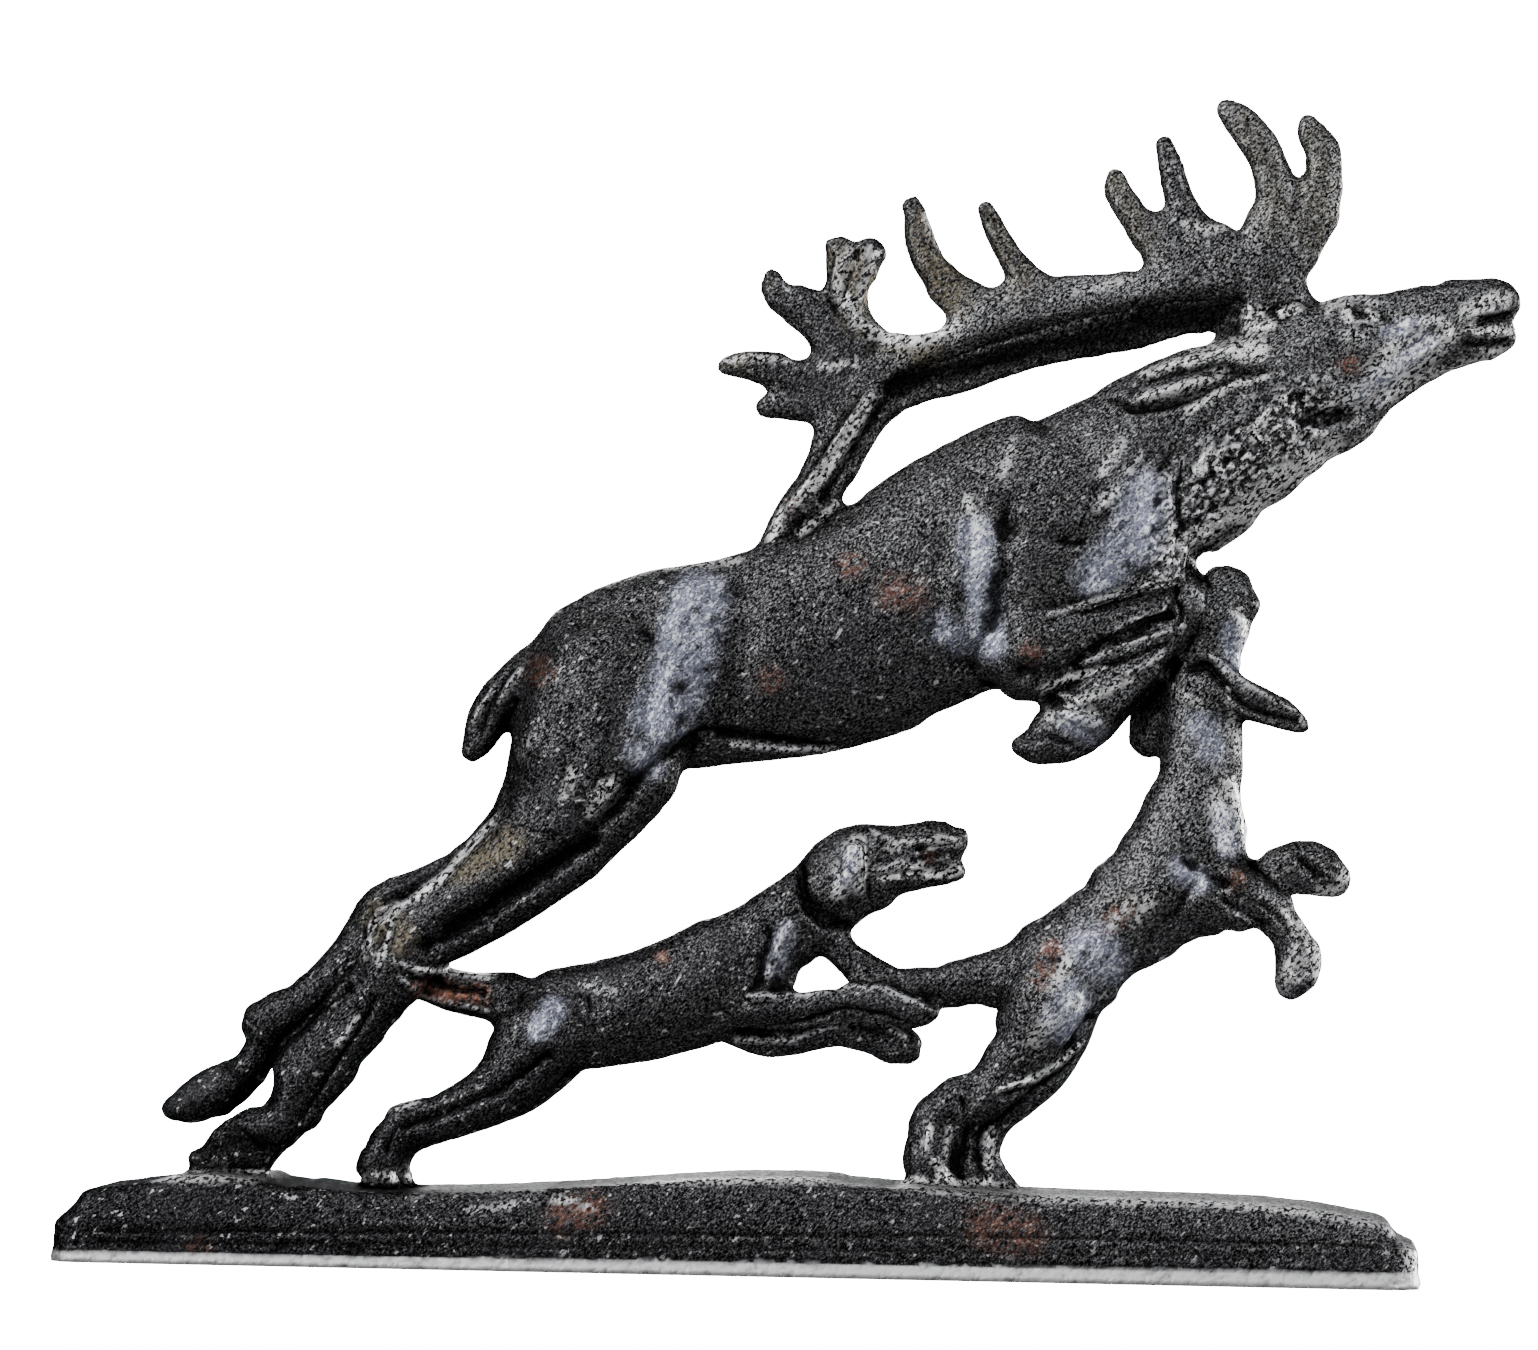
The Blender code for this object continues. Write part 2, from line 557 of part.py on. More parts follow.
def main():
    """Model the animals, stand them on the plinth, and fuse all into one casting in metres."""
    clear_scene()
    model = bpy.data.collections.new("deer_and_hounds_sculpture")
    bpy.context.scene.collection.children.link(model)
    forms = stag_limbs(model) + antler_limbs(model) + hound_limbs(model)
    casting = joined(forms, model)
    fuse(casting)
    carve(casting, STAG_CARVING + HOUND_CARVING + mane_carving())
    thin_out(casting, ANIMAL_TRIANGLES)
    stand = Vector((-GROUP_SETBACK, 0.0, PLINTH_HEIGHT + GROUND_LINE_RISE))
    for vert in casting.data.vertices:
        vert.co = vert.co * UNIT + stand
    base = plinth(model)
    union = casting.modifiers.new("on the plinth", "BOOLEAN")
    union.operation = "UNION"
    union.solver = "EXACT"
    union.object = base
    bake(casting)
    bpy.data.objects.remove(base)
    bm = bmesh.new()
    bm.from_mesh(casting.data)
    bmesh.ops.scale(bm, vec=(MM, MM, MM), verts=bm.verts)
    bmesh.ops.triangulate(bm, faces=bm.faces)
    bm.to_mesh(casting.data)
    bm.free()
    casting.name = "deer_and_hounds"
    casting.data.name = "deer_and_hounds"
    casting.data.materials.clear()
    casting.data.materials.append(cast_iron())


main()
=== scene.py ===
# %% [markdown]
# # A stag and two hounds, cast in iron
#
# The real object is one sand casting: a leaping stag with its antlers laid back, a hound running below it, a
# hound rearing at its chest, and a long low plinth. This lesson dresses the imported casting: it takes a
# copy of it, softens the facets, touches up the outline, models the eyes, toes and other small forms,
# presses in the creases and the mane as a chaser would, and gives the iron its black skin, with highlights
# and shade partly painted into its colour.

# %% Load the imported casting
import math

import bpy
import numpy as np
from mathutils import Matrix, Vector


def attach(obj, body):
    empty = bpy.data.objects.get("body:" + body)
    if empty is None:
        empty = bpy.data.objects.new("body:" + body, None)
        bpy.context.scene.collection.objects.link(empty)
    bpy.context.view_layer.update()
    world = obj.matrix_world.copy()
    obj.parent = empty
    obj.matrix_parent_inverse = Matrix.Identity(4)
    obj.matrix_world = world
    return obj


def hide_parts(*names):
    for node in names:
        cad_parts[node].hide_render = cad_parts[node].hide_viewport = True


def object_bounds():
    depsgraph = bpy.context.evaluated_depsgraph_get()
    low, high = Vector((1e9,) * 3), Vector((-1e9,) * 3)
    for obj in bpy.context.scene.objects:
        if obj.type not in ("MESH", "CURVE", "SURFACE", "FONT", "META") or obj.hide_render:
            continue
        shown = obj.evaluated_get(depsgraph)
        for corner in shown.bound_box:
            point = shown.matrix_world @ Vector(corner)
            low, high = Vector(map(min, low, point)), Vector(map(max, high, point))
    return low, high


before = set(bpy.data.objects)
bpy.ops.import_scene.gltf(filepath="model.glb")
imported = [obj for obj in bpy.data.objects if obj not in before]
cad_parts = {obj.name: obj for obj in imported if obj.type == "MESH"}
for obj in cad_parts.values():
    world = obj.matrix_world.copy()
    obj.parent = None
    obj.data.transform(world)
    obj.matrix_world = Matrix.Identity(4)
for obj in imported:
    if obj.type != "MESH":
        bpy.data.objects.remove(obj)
bpy.ops.object.select_all(action="DESELECT")
CAD_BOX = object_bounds()
MM = 0.001
SIZE = CAD_BOX[1] - CAD_BOX[0]
print("casting:", [round(side / MM, 1) for side in SIZE], "mm")

# %% [markdown]
# ## The camera
#
# The group was seen almost square on, a little from its right and from just above the plinth, through a
# long lens. A camera looks along its own -Z, so a direction is turned into a rotation with
# to_track_quat, and the small roll is added round that same axis.

# %% Place the camera
LOOK_AT = Vector((6.07, 0.0, 154.87)) * MM
DISTANCE = 1600 * MM
AZIMUTH = math.radians(4.6)
ELEVATION = math.radians(-1.8)
ROLL = math.radians(0.916)
LENS = 143.5
SENSOR_WIDTH = 36.0

back = Vector((math.sin(AZIMUTH) * math.cos(ELEVATION), -math.cos(AZIMUTH) * math.cos(ELEVATION),
               math.sin(ELEVATION)))
bpy.ops.object.camera_add()
camera = bpy.context.object
camera.name = "camera"
camera.data.lens = LENS
camera.data.sensor_width = SENSOR_WIDTH
camera.matrix_world = (Matrix.Translation(LOOK_AT + back * DISTANCE)
                       @ (-back).to_track_quat("-Z", "Y").to_matrix().to_4x4()
                       @ Matrix.Rotation(ROLL, 4, "Z"))
bpy.context.scene.camera = camera
print("camera at", [round(value, 3) for value in camera.matrix_world.translation])

# %% [markdown]
# ## The studio
#
# Dark metal is drawn by what it reflects. The camera sees a white floor, and a white sheet behind it, but
# a Light Path node gives the iron a dimmer floor and room to reflect, so its blacks stay black. A broad
# light from above fills the tops, two tall soft panels near the camera give the upright sheen on the
# flanks, and two more catch the right edges and the back.

# %% Helpers for node trees
def node(tree, kind, **values):
    """Add a node, and set its properties and its inputs by name."""
    made = tree.nodes.new(kind)
    for name, value in values.items():
        if name in made.inputs:
            made.inputs[name].default_value = value
        else:
            setattr(made, name, value)
    return made


def new_material(name):
    """A material with an empty node tree but for its output."""
    material = bpy.data.materials.new(name)
    material.use_nodes = True
    material.node_tree.nodes.clear()
    return material, material.node_tree, material.node_tree.nodes.new("ShaderNodeOutputMaterial")


def grey(level):
    """A colour with the same level in all three channels."""
    return (level, level, level, 1.0)


def seen_or_not(tree, lighting, seen, output):
    """One shader for the light it gives, another for how the camera sees it."""
    path = tree.nodes.new("ShaderNodeLightPath")
    choose = tree.nodes.new("ShaderNodeMixShader")
    tree.links.new(path.outputs["Is Camera Ray"], choose.inputs[0])
    tree.links.new(lighting.outputs[0], choose.inputs[1])
    tree.links.new(seen.outputs[0], choose.inputs[2])
    tree.links.new(choose.outputs[0], output.inputs["Surface"])


# %% Build the floor
# The iron reflects the floor as grey, and the camera sees it far brighter
FLOOR_HALF = 30.0
FLOOR_GREY = 0.22
FLOOR_SEEN = 26.0

bpy.ops.mesh.primitive_plane_add(size=2 * FLOOR_HALF)
floor = bpy.context.object
floor.name = "floor"
floor_material, tree, output = new_material("pale_floor")
soft = node(tree, "ShaderNodeBsdfDiffuse", Color=grey(FLOOR_GREY))
bright = node(tree, "ShaderNodeBsdfDiffuse", Color=grey(FLOOR_SEEN))
seen_or_not(tree, soft, bright, output)
floor.data.materials.append(floor_material)
print("floor:", 2 * FLOOR_HALF, "m wide")

# %% Light the room
ROOM_LIGHT = 0.26
ROOM_TINT = (0.93, 0.96, 1.0, 1.0)
SHEET_GLOW = 24.0
TOP_LIGHT = 1.75
SOFTBOX_HEIGHT = 2.0
SOFTBOX_ANGLE = math.radians(70)
SOFTBOX_LEAN = math.radians(24)
# Each has an azimuth and an elevation in degrees, a distance, a width and a height in metres, and watts
PANELS = {
    "left_panel": (-40, 14, 2.2, 0.35, 1.6, 27),
    "right_panel": (48, 10, 2.2, 0.4, 1.6, 27),
    "rim_panel": (118, 4, 1.3, 0.5, 0.3, 18),
    "back_panel": (200, 30, 2.4, 1.2, 1.2, 55),
}

world = bpy.data.worlds.new("studio")
bpy.context.scene.world = world
world.use_nodes = True
tree = world.node_tree
tree.nodes.clear()
room = node(tree, "ShaderNodeBackground", Color=ROOM_TINT, Strength=ROOM_LIGHT)
sheet = node(tree, "ShaderNodeBackground", Color=grey(1.0), Strength=SHEET_GLOW)
seen_or_not(tree, room, sheet, tree.nodes.new("ShaderNodeOutputWorld"))

bpy.ops.object.light_add(type="SUN", location=(0.0, 0.0, SOFTBOX_HEIGHT))
softbox = bpy.context.object
softbox.name = "overhead_softbox"
softbox.data.energy = TOP_LIGHT
softbox.data.angle = SOFTBOX_ANGLE
softbox.rotation_euler = (SOFTBOX_LEAN, -SOFTBOX_LEAN, 0.0)


def panel(name, azimuth, elevation, distance, width, height, watts):
    """A soft rectangular light that faces the middle of the group."""
    turn, rise = math.radians(azimuth), math.radians(elevation)
    away = Vector((math.sin(turn) * math.cos(rise), -math.cos(turn) * math.cos(rise), math.sin(rise)))
    bpy.ops.object.light_add(type="AREA", location=LOOK_AT + away * distance)
    light = bpy.context.object
    light.name = name
    light.data.shape = "RECTANGLE"
    light.data.size = width
    light.data.size_y = height
    light.data.energy = watts
    light.rotation_euler = away.to_track_quat("Z", "Y").to_euler()


for name, settings in PANELS.items():
    panel(name, *settings)
print(len(PANELS), "panels and a softbox")

# %% [markdown]
# ## The casting
#
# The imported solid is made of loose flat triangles. Its copy is merged into one closed skin, rebuilt in
# even small cells by a Remesh modifier, and smoothed. Plain smoothing would shrink the thin tines, so
# every smoothing pass is followed by a slightly stronger one with a negative factor, which pushes the
# form back out and leaves only the facets gone.

# %% Take a copy of the casting and merge it
MERGE_GAP = 0.01 * MM


def pick(obj):
    """Make an object the only selected one, and the active one."""
    bpy.ops.object.select_all(action="DESELECT")
    obj.select_set(True)
    bpy.context.view_layer.objects.active = obj


def apply_modifier(obj, kind, **values):
    """Add a modifier with these settings, and apply it."""
    pick(obj)
    modifier = obj.modifiers.new(kind.lower(), kind)
    for name, value in values.items():
        setattr(modifier, name, value)
    bpy.ops.object.modifier_apply(modifier=modifier.name)


def report(obj, what):
    """Print how many faces a mesh has."""
    print(f"{what}: {len(obj.data.polygons)} faces")


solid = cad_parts["deer_and_hounds"]
casting = bpy.data.objects.new("cast_group", solid.data.copy())
bpy.context.scene.collection.objects.link(casting)
casting.data.materials.clear()
pick(casting)
bpy.ops.object.mode_set(mode="EDIT")
bpy.ops.mesh.select_all(action="SELECT")
bpy.ops.mesh.remove_doubles(threshold=MERGE_GAP)
bpy.ops.object.mode_set(mode="OBJECT")
report(casting, "merged copy")

# %% Rebuild it in small cells and smooth the facets away
COARSE_CELL = 1.25 * MM
SMOOTH_ROUNDS = 16


def soften(obj, rounds, inward=0.6, outward=-0.638):
    """Smooth in pairs of passes, in and back out, so that thin forms keep their thickness."""
    for _ in range(rounds):
        apply_modifier(obj, "SMOOTH", factor=inward, iterations=1)
        apply_modifier(obj, "SMOOTH", factor=outward, iterations=1)


apply_modifier(casting, "REMESH", mode="VOXEL", voxel_size=COARSE_CELL)
soften(casting, SMOOTH_ROUNDS)
report(casting, "even skin")

# %% [markdown]
# ## The outline
#
# The founder's file left its own touches along the edges. Each is a stroke in the side view: a width, a
# depth and a few given points, all in millimetres. The outline near the line moves in (a positive depth) or
# out (a negative one), never more than about two millimetres, and the broad faces stay where they are.

# %% Describe the touches to the outline
HEAD_EDGES = (
    (7, 2.0, ((145.5, 206), (139.5, 202), (135.5, 198))),
    (6, -1.5, ((160.5, 219), (156, 215.5), (152.5, 212.5))), (6, -1.0, ((122.5, 189.5), (130.5, 195))),
    (4.5, 1.8, ((116.5, 184.5), (118.5, 187))), (3.5, -1.6, ((118.5, 182.5), (121, 183.5))),
    (5, -1.0, ((130.5, 180.5), (133, 176.5))),
    (4, -1.0, ((43.5, 227.5), (68.5, 235.5), (85, 239), (104, 242.5), (118.5, 246))),
    (4, -1.0, ((193, 240), (197, 243))), (4, -0.8, ((198, 254.5), (199, 252.5))),
    (5, 0.9, ((179, 259.5), (188, 260.5))), (4, -1.0, ((151.5, 275), (146, 264))),
    (4, -0.9, ((99, 269.5), (103, 264), (97.5, 261))), (5, -0.6, ((77, 224.5), (85, 226.5))),
)
ANTLER_EDGES = (
    (4, 1.5, ((12, 239), (16, 237.5))), (4, -1.2, ((13, 255.5), (19, 255.5))), (3, -1.0, ((19, 268),)),
    (3, -0.8, ((34.5, 265.5),)), (4, 1.2, ((31.5, 255), (32, 248.5))),
    (4, 1.2, ((42.5, 245), (51.5, 247.5))), (4, -1.2, ((47, 253.5), (50, 250))),
    (3, -0.9, ((39.5, 278.5), (41.5, 279.5))), (3, -1.2, ((60.5, 277.5),)),
    (4, 0.8, ((47.5, 268), (50, 264.5))), (4, -1.0, ((92.5, 285.5), (92.5, 282.5))),
    (4, 1.4, ((103.5, 278.5), (107.5, 277))), (5, -1.2, ((124, 272.5), (129.5, 275.5))),
    (4, -1.2, ((143.5, 301.5), (143, 296))), (3, 1.4, ((143, 287),)), (3, -0.9, ((3, 226), (5, 224))),
)
HOUND_EDGES = (
    (5, -0.9, ((28.5, 88.5), (37, 95))), (5, 0.9, ((42, 97.5), (55.5, 101))),
    (3, -0.9, ((57, 114.5), (57, 104))), (3, -0.9, ((27.5, 75.5),)), (3, -0.9, ((14, 73.5),)),
    (3, 1.0, ((15.5, 78.5),)), (3, -1.0, ((44, 63), (46, 60))), (4, -1.0, ((37.5, 55.5), (45, 55))),
    (4, -0.9, ((52, 69), (56, 69.5))), (4, -1.2, ((66, 69), (67.5, 66))),
    (5, -1.0, ((55.5, 50.5), (64.5, 58.5))), (5, -0.8, ((45, 45), (44.5, 40.5))),
    (5, -1.1, ((56, 80.5), (74, 90.5))), (6, -1.5, ((92.5, 105.5), (98, 111.5))),
    (6, 0.8, ((78, 93.5), (89.5, 101.5))), (5, -1.4, ((122.5, 90), (129, 90.5))),
    (5, 1.4, ((115.5, 86), (120, 88.5))), (4, 1.0, ((134.5, 90.5), (137.5, 87))),
    (4, 0.9, ((99.5, 75), (102, 78))), (4, -0.9, ((94.5, 70), (97, 71.5))),
    (4, 1.1, ((131, 113), (133.5, 108.5))), (4, -1.2, ((142, 99.5), (145, 101.5))),
    (4, 1.2, ((144.5, 96), (147.5, 90))), (5, 0.9, ((29.5, 25), (41, 24))),
)
FORELEG_EDGES = (
    (4, 0.9, ((131.5, 169.5), (129.5, 163))), (4, 0.8, ((130, 156), (137.5, 151.5))),
    (7, 1.5, ((50, 145.5), (57.5, 148), (64, 150.5))), (4, -1.1, ((77.5, 147), (75, 144.5))),
)
HOOF_EDGES = (
    (4, -2.2, ((-118, 58.5), (-119.5, 55.5), (-121, 51.5))), (4, 1.6, ((-121, 44), (-123, 40.5))),
    (3, 0.7, ((-133, 39.5), (-127.5, 43.5))), (4, -1.2, ((-130.5, 64.5), (-131, 61))),
    (4, 1.4, ((-131.5, 56), (-133.5, 53))), (4, 0.8, ((-126, 69), (-120.5, 71.5))),
    (6, -1.8, ((-102, 48), (-109, 40), (-111, 36.5))), (4, 0.9, ((-87, 66), (-90.5, 61))),
    (5, 1.6, ((-112.5, 33), (-117.5, 28))), (3, -1.0, ((-123, 24),)),
    (4, -1.2, ((-144, 23.5), (-142, 26.5))), (4, 0.8, ((-120, 22), (-115, 21))),
    (4, 0.9, ((-94, 37), (-97, 31.5))), (4, -0.9, ((-89.5, 40.5), (-83.5, 42.5))),
    (3, -0.9, ((-100.5, 24.5),)), (4, 0.7, ((-138, 35), (-140.5, 30))),
)
EDGES = HEAD_EDGES + ANTLER_EDGES + HOUND_EDGES + FORELEG_EDGES + HOOF_EDGES
print(len(EDGES), "touches to the outline")


# %% File the outline
def read_places(mesh):
    """Places and normals of all the points, as arrays, places in millimetres."""
    count = len(mesh.vertices)
    places = np.empty(count * 3, dtype=np.float32)
    normals = np.empty(count * 3, dtype=np.float32)
    mesh.vertices.foreach_get("co", places)
    mesh.vertices.foreach_get("normal", normals)
    return places.reshape(count, 3) / MM, normals.reshape(count, 3)


def write_places(mesh, places):
    """Put the points back, from millimetres."""
    mesh.vertices.foreach_set("co", (places * MM).astype(np.float32).ravel())
    mesh.update()


def gap_to_line(places, points):
    """Distance in the side view from each place to a line of points, in millimetres."""
    flat = places[:, (0, 2)]
    nearest = np.full(len(flat), np.inf)
    if len(points) == 1:
        return np.linalg.norm(flat - np.array(points[0]), axis=1)
    for start, end in zip(points, points[1:]):
        start = np.array(start, dtype=float)
        along = np.array(end, dtype=float) - start
        share = np.clip((flat - start) @ along / (along @ along), 0.0, 1.0)
        gap = np.linalg.norm(flat - start - share[:, None] * along, axis=1)
        nearest = np.minimum(nearest, gap)
    return nearest


def depth_under(places, strokes):
    """How deep the strokes press at each place, fading out across each stroke's width."""
    depth = np.zeros(len(places))
    for width, deep, points in strokes:
        depth += deep * np.clip(1.0 - (gap_to_line(places, points) / width) ** 2, 0.0, None) ** 2
    return depth


def file_edges(obj, strokes):
    """Move the outline in or out under each stroke, and leave the faces where they are."""
    places, normals = read_places(obj.data)
    strength = np.sqrt(np.clip(1.0 - normals[:, 1] ** 2, 0.0, 1.0))
    write_places(obj.data, places - normals * (depth_under(places, strokes) * strength)[:, None])


file_edges(casting, EDGES)
report(casting, "filed")

# %% [markdown]
# ## Small round forms
#
# Eyes, the beads round the antler's burr, the knot at the knee and the toes stand proud of the skin. Each
# is a small sphere, stretched and turned, set at the surface with a ray cast, on both sides of the
# casting. They are joined to the casting and fused with it by a second Remesh.

# %% Describe the small forms
# Each is a place in the side view, a length, a height, a thickness in millimetres and a tilt in degrees
EYES = (
    (158.8, 250.4, 2.6, 1.7, 1.5, 8),
    (36.8, 112.2, 1.6, 1.1, 1.0, 5),
    (124.5, 172.5, 1.3, 1.5, 1.0, 0),
)
KNEE_KNOT = (
    (-37.5, 122.0, 2.2, 1.5, 1.7, 60), (-34.6, 125.2, 1.7, 1.4, 1.6, 20), (-39.5, 125.0, 1.6, 1.3, 1.5, 80),
    (-41.0, 120.5, 1.6, 1.2, 1.5, 10),
)
BURR_BEADS = (
    (129.0, 247.0, 1.2, 1.8, 1.4, 0), (132.2, 247.6, 1.2, 1.8, 1.4, 0), (135.4, 248.6, 1.3, 1.6, 1.4, 30),
    (138.6, 250.2, 1.3, 1.3, 1.3, 0), (142.0, 251.4, 1.6, 1.1, 1.3, 0),
)
ELBOW = ((128.5, 103.5, 3.2, 3.6, 2.0, 30),)
TOES = (
    (-94.3, 23.0, 1.5, 2.0, 1.4, 20), (-91.0, 22.6, 1.5, 2.0, 1.5, 10), (-87.6, 22.2, 1.6, 1.8, 1.5, -20),
    (46.8, 70.6, 2.0, 1.3, 1.3, 25), (49.0, 68.2, 1.7, 1.2, 1.2, 30), (44.5, 58.6, 1.9, 1.3, 1.3, 20),
    (53.5, 25.0, 1.7, 2.0, 1.5, 20), (57.5, 23.8, 1.7, 1.7, 1.5, -20), (63.0, 24.2, 1.8, 1.6, 1.4, -10),
    (144.3, 77.5, 1.6, 2.2, 1.3, 10), (151.6, 104.5, 2.0, 1.8, 1.4, -30), (152.8, 107.8, 1.8, 1.6, 1.4, -10),
)
FORMS = EYES + KNEE_KNOT + BURR_BEADS + ELBOW + TOES
print(len(FORMS), "small forms on each side")

# %% Set them on the skin as spheres
RAY_START = 0.2
SEGMENTS = 20
RINGS = 12
FINE_CELL = 0.85 * MM
FUSED_ROUNDS = 2


def skin_at(obj, x, z, side):
    """Where the skin is at a place of the side view, on the near side (-1) or the far side (1)."""
    hit, place, _, _ = obj.ray_cast(Vector((x, side * RAY_START, z)), Vector((0.0, -side, 0.0)))
    return place if hit else None


def set_sphere(obj, form, side):
    """A stretched sphere half sunk in the skin; nothing where the ray misses."""
    x, z, length, height, thickness, tilt = form
    place = skin_at(obj, x * MM, z * MM, side)
    if place is None:
        return None
    bpy.ops.mesh.primitive_uv_sphere_add(
        segments=SEGMENTS, ring_count=RINGS, radius=1.0, location=place,
        scale=(length * MM, thickness * MM, height * MM), rotation=(0.0, math.radians(-tilt), 0.0))
    return bpy.context.object


def join_to(obj, pieces):
    """Join the pieces to the object."""
    pick(obj)
    for piece in pieces:
        piece.select_set(True)
    bpy.ops.object.join()


spheres = [set_sphere(casting, form, side) for form in FORMS for side in (-1, 1)]
join_to(casting, [sphere for sphere in spheres if sphere])
apply_modifier(casting, "REMESH", mode="VOXEL", voxel_size=FINE_CELL)
soften(casting, FUSED_ROUNDS)
report(casting, "with its small forms")

# %% [markdown]
# ## Creases and ridges
#
# The founder's pattern was carved, so the muscles, jaws, ears and cords are lines cut into or left
# standing on broad forms. Here each is a stroke again. The skin near the line moves along its normal,
# deepest at the middle, as a sculpting brush would move it. A negative depth raises a ridge. The far
# side gets the same strokes, fainter.

# %% Describe the strokes
STAG_HEAD = (
    (1.6, 1.3, ((94.5, 227.5), (100, 224.5), (109, 225.5), (118, 229), (125.5, 232.5), (133, 234.5))),
    (1.8, 1.2, ((104.5, 233), (112, 235), (123, 235.5), (130, 234.5))),
    (2.4, -0.9, ((102, 228), (109.5, 229.5), (118.5, 232))),
    (1.5, -0.8, ((103, 233.5), (112, 237.5), (125.5, 241))),
    (2.4, -1.0, ((150, 253), (154.5, 254.5), (164.5, 254))),
    (1.0, -1.0, ((154, 250), (156, 254), (159.5, 255), (162.5, 252.5))),
    (1.0, -0.9, ((154, 248.5), (157, 247.5), (160.5, 248), (162.5, 250.5))),
    (2.0, -0.6, ((150, 251), (155.5, 256), (160.5, 256.5))),
    (1.2, 0.7, ((163, 250), (167, 248), (170, 246))),
    (3.0, -1.0, ((157, 229), (166, 235.5), (176, 241.5))),
    (1.4, -0.8, ((156, 227), (163.5, 231.5), (171, 238), (176.5, 241.5), (180.5, 244.5))),
    (2.4, 1.1, ((160, 225.5), (169, 231), (178.5, 238))),
    (3.0, 1.1, ((143, 222), (149, 223), (154.5, 224.5))),
    (2.4, -0.7, ((168, 246), (175, 247.5), (180, 247.5))),
    (1.1, 1.7, ((185, 247), (189, 248), (193.5, 249.5), (199.5, 251))),
    (1.3, -0.9, ((186.5, 249.5), (190.5, 251), (195.5, 252.5))),
    (1.3, -0.9, ((186, 245.5), (190.5, 245), (195.5, 246))),
    (1.8, 0.9, ((187, 242.5), (191.5, 242), (195, 242.5))),
    (0.9, 1.0, ((190.5, 253.5), (193.5, 255))),
)
STAG_NECK = (
    (3.0, -1.0, ((109, 206), (110, 196), (109, 186))),
    (1.6, 0.9, ((111.5, 202.5), (113, 193.5), (112, 187))),
    (1.8, -0.8, ((123.5, 207.5), (121.5, 211), (123.5, 214.5))),
    (1.8, -0.8, ((131, 217.5), (133, 221.5), (136, 224.5))),
    (1.8, -0.7, ((117, 208.5), (119, 211.5), (120.5, 215))),
)
STAG_SHOULDER = (
    (8.0, 0.4, ((70, 199), (69, 185), (68, 169.5), (67, 154.5))),
    (11.0, -0.4, ((58.5, 196.5), (57.5, 182), (56, 166.5))),
    (9.0, -0.6, ((102, 203.5), (99.5, 193), (95, 181.5))),
    (1.0, -1.1, ((79.5, 171), (89, 174), (97.5, 176.5), (113.5, 181.5))),
    (1.1, 1.6, ((88, 172.5), (95, 175), (104.5, 178), (111.5, 180))),
    (1.0, -1.0, ((94.5, 166), (101.5, 170), (109, 173))),
    (1.4, 2.0, ((90.5, 162), (95.5, 165.5), (100.5, 168), (106.5, 170.5), (111, 171.5))),
    (1.0, -1.0, ((88.5, 158.5), (97.5, 163), (105.5, 165.5), (114, 168.5))),
    (1.2, 1.2, ((90.5, 156.5), (99, 160), (110, 164))),
    (1.2, -0.9, ((100, 156), (104, 158), (108.5, 161))),
    (1.0, -0.9, ((82, 150.5), (85, 150), (88, 148.5))),
    (4.2, 1.9, ((72.5, 156), (80, 156), (87, 158))),
    (2.0, 2.4, ((98, 143.5), (103, 148.5), (108, 153.5), (112, 159.5))),
    (2.6, -1.2, ((83, 146), (87, 144.5), (91.5, 142.5))),
    (1.2, 1.3, ((82, 148), (87, 146.5), (93, 146))),
    (1.2, 1.3, ((72, 138.5), (78.5, 139.5), (85, 137.5))),
)
STAG_HIND = (
    (2.6, 1.9, ((27, 135), (15, 136.5), (-0.5, 139), (-10, 139.5), (-18, 134.5), (-25, 128), (-29, 124))),
    (1.4, -0.8, ((-2, 136), (12, 135.5), (23.5, 135.5))),
    (13.0, -0.6, ((-14, 170), (-19, 153), (-24, 136))),
    (8.0, 0.3, ((0.5, 174), (-1.5, 158), (-4, 145))),
    (4.0, 2.3, ((-29.5, 121), (-38.5, 111.5), (-51.5, 102.5), (-67, 91), (-80.5, 82.5))),
    (1.5, -1.5, ((-95.5, 91.5), (-86.5, 94), (-79, 100), (-75.5, 105), (-70.5, 111), (-63.5, 117.5))),
    (1.3, 1.3, ((-94.5, 95), (-88.5, 96.5), (-82.5, 102), (-72.5, 112), (-66.5, 118))),
    (1.4, -1.3, ((-97, 83.5), (-97.5, 88), (-95, 91), (-89.5, 92))),
    (2.5, 1.3, ((-92, 83), (-91, 88))),
    (2.0, 2.6, ((-102, 72), (-109.5, 67), (-116, 61), (-121, 57), (-124, 52), (-125.5, 48))),
    (1.5, -1.0, ((-98.5, 63.5), (-100.5, 60.5), (-103.5, 56.5))),
    (1.8, 1.2, ((-94, 68.5), (-100, 58), (-107, 47), (-113, 37))),
    (1.3, 1.3, ((-136, 36), (-129, 34), (-123, 29))),
    (4.0, 1.0, ((-135.5, 28.5), (-129.5, 31), (-124.5, 28.5))),
    (1.3, 1.2, ((-136, 51), (-132.5, 48), (-129.5, 44))),
    (1.2, -0.9, ((-58.5, 155), (-61.5, 151), (-64, 146.5))),
    (1.2, -0.9, ((-65.5, 150), (-69, 145.5), (-71, 141.5))),
    (1.2, 1.1, ((-61.5, 155), (-65, 149.5), (-67, 143.5), (-68.5, 138.5))),
    (1.8, 1.7, ((-60, 147), (-62.5, 142), (-63.5, 137))),
)
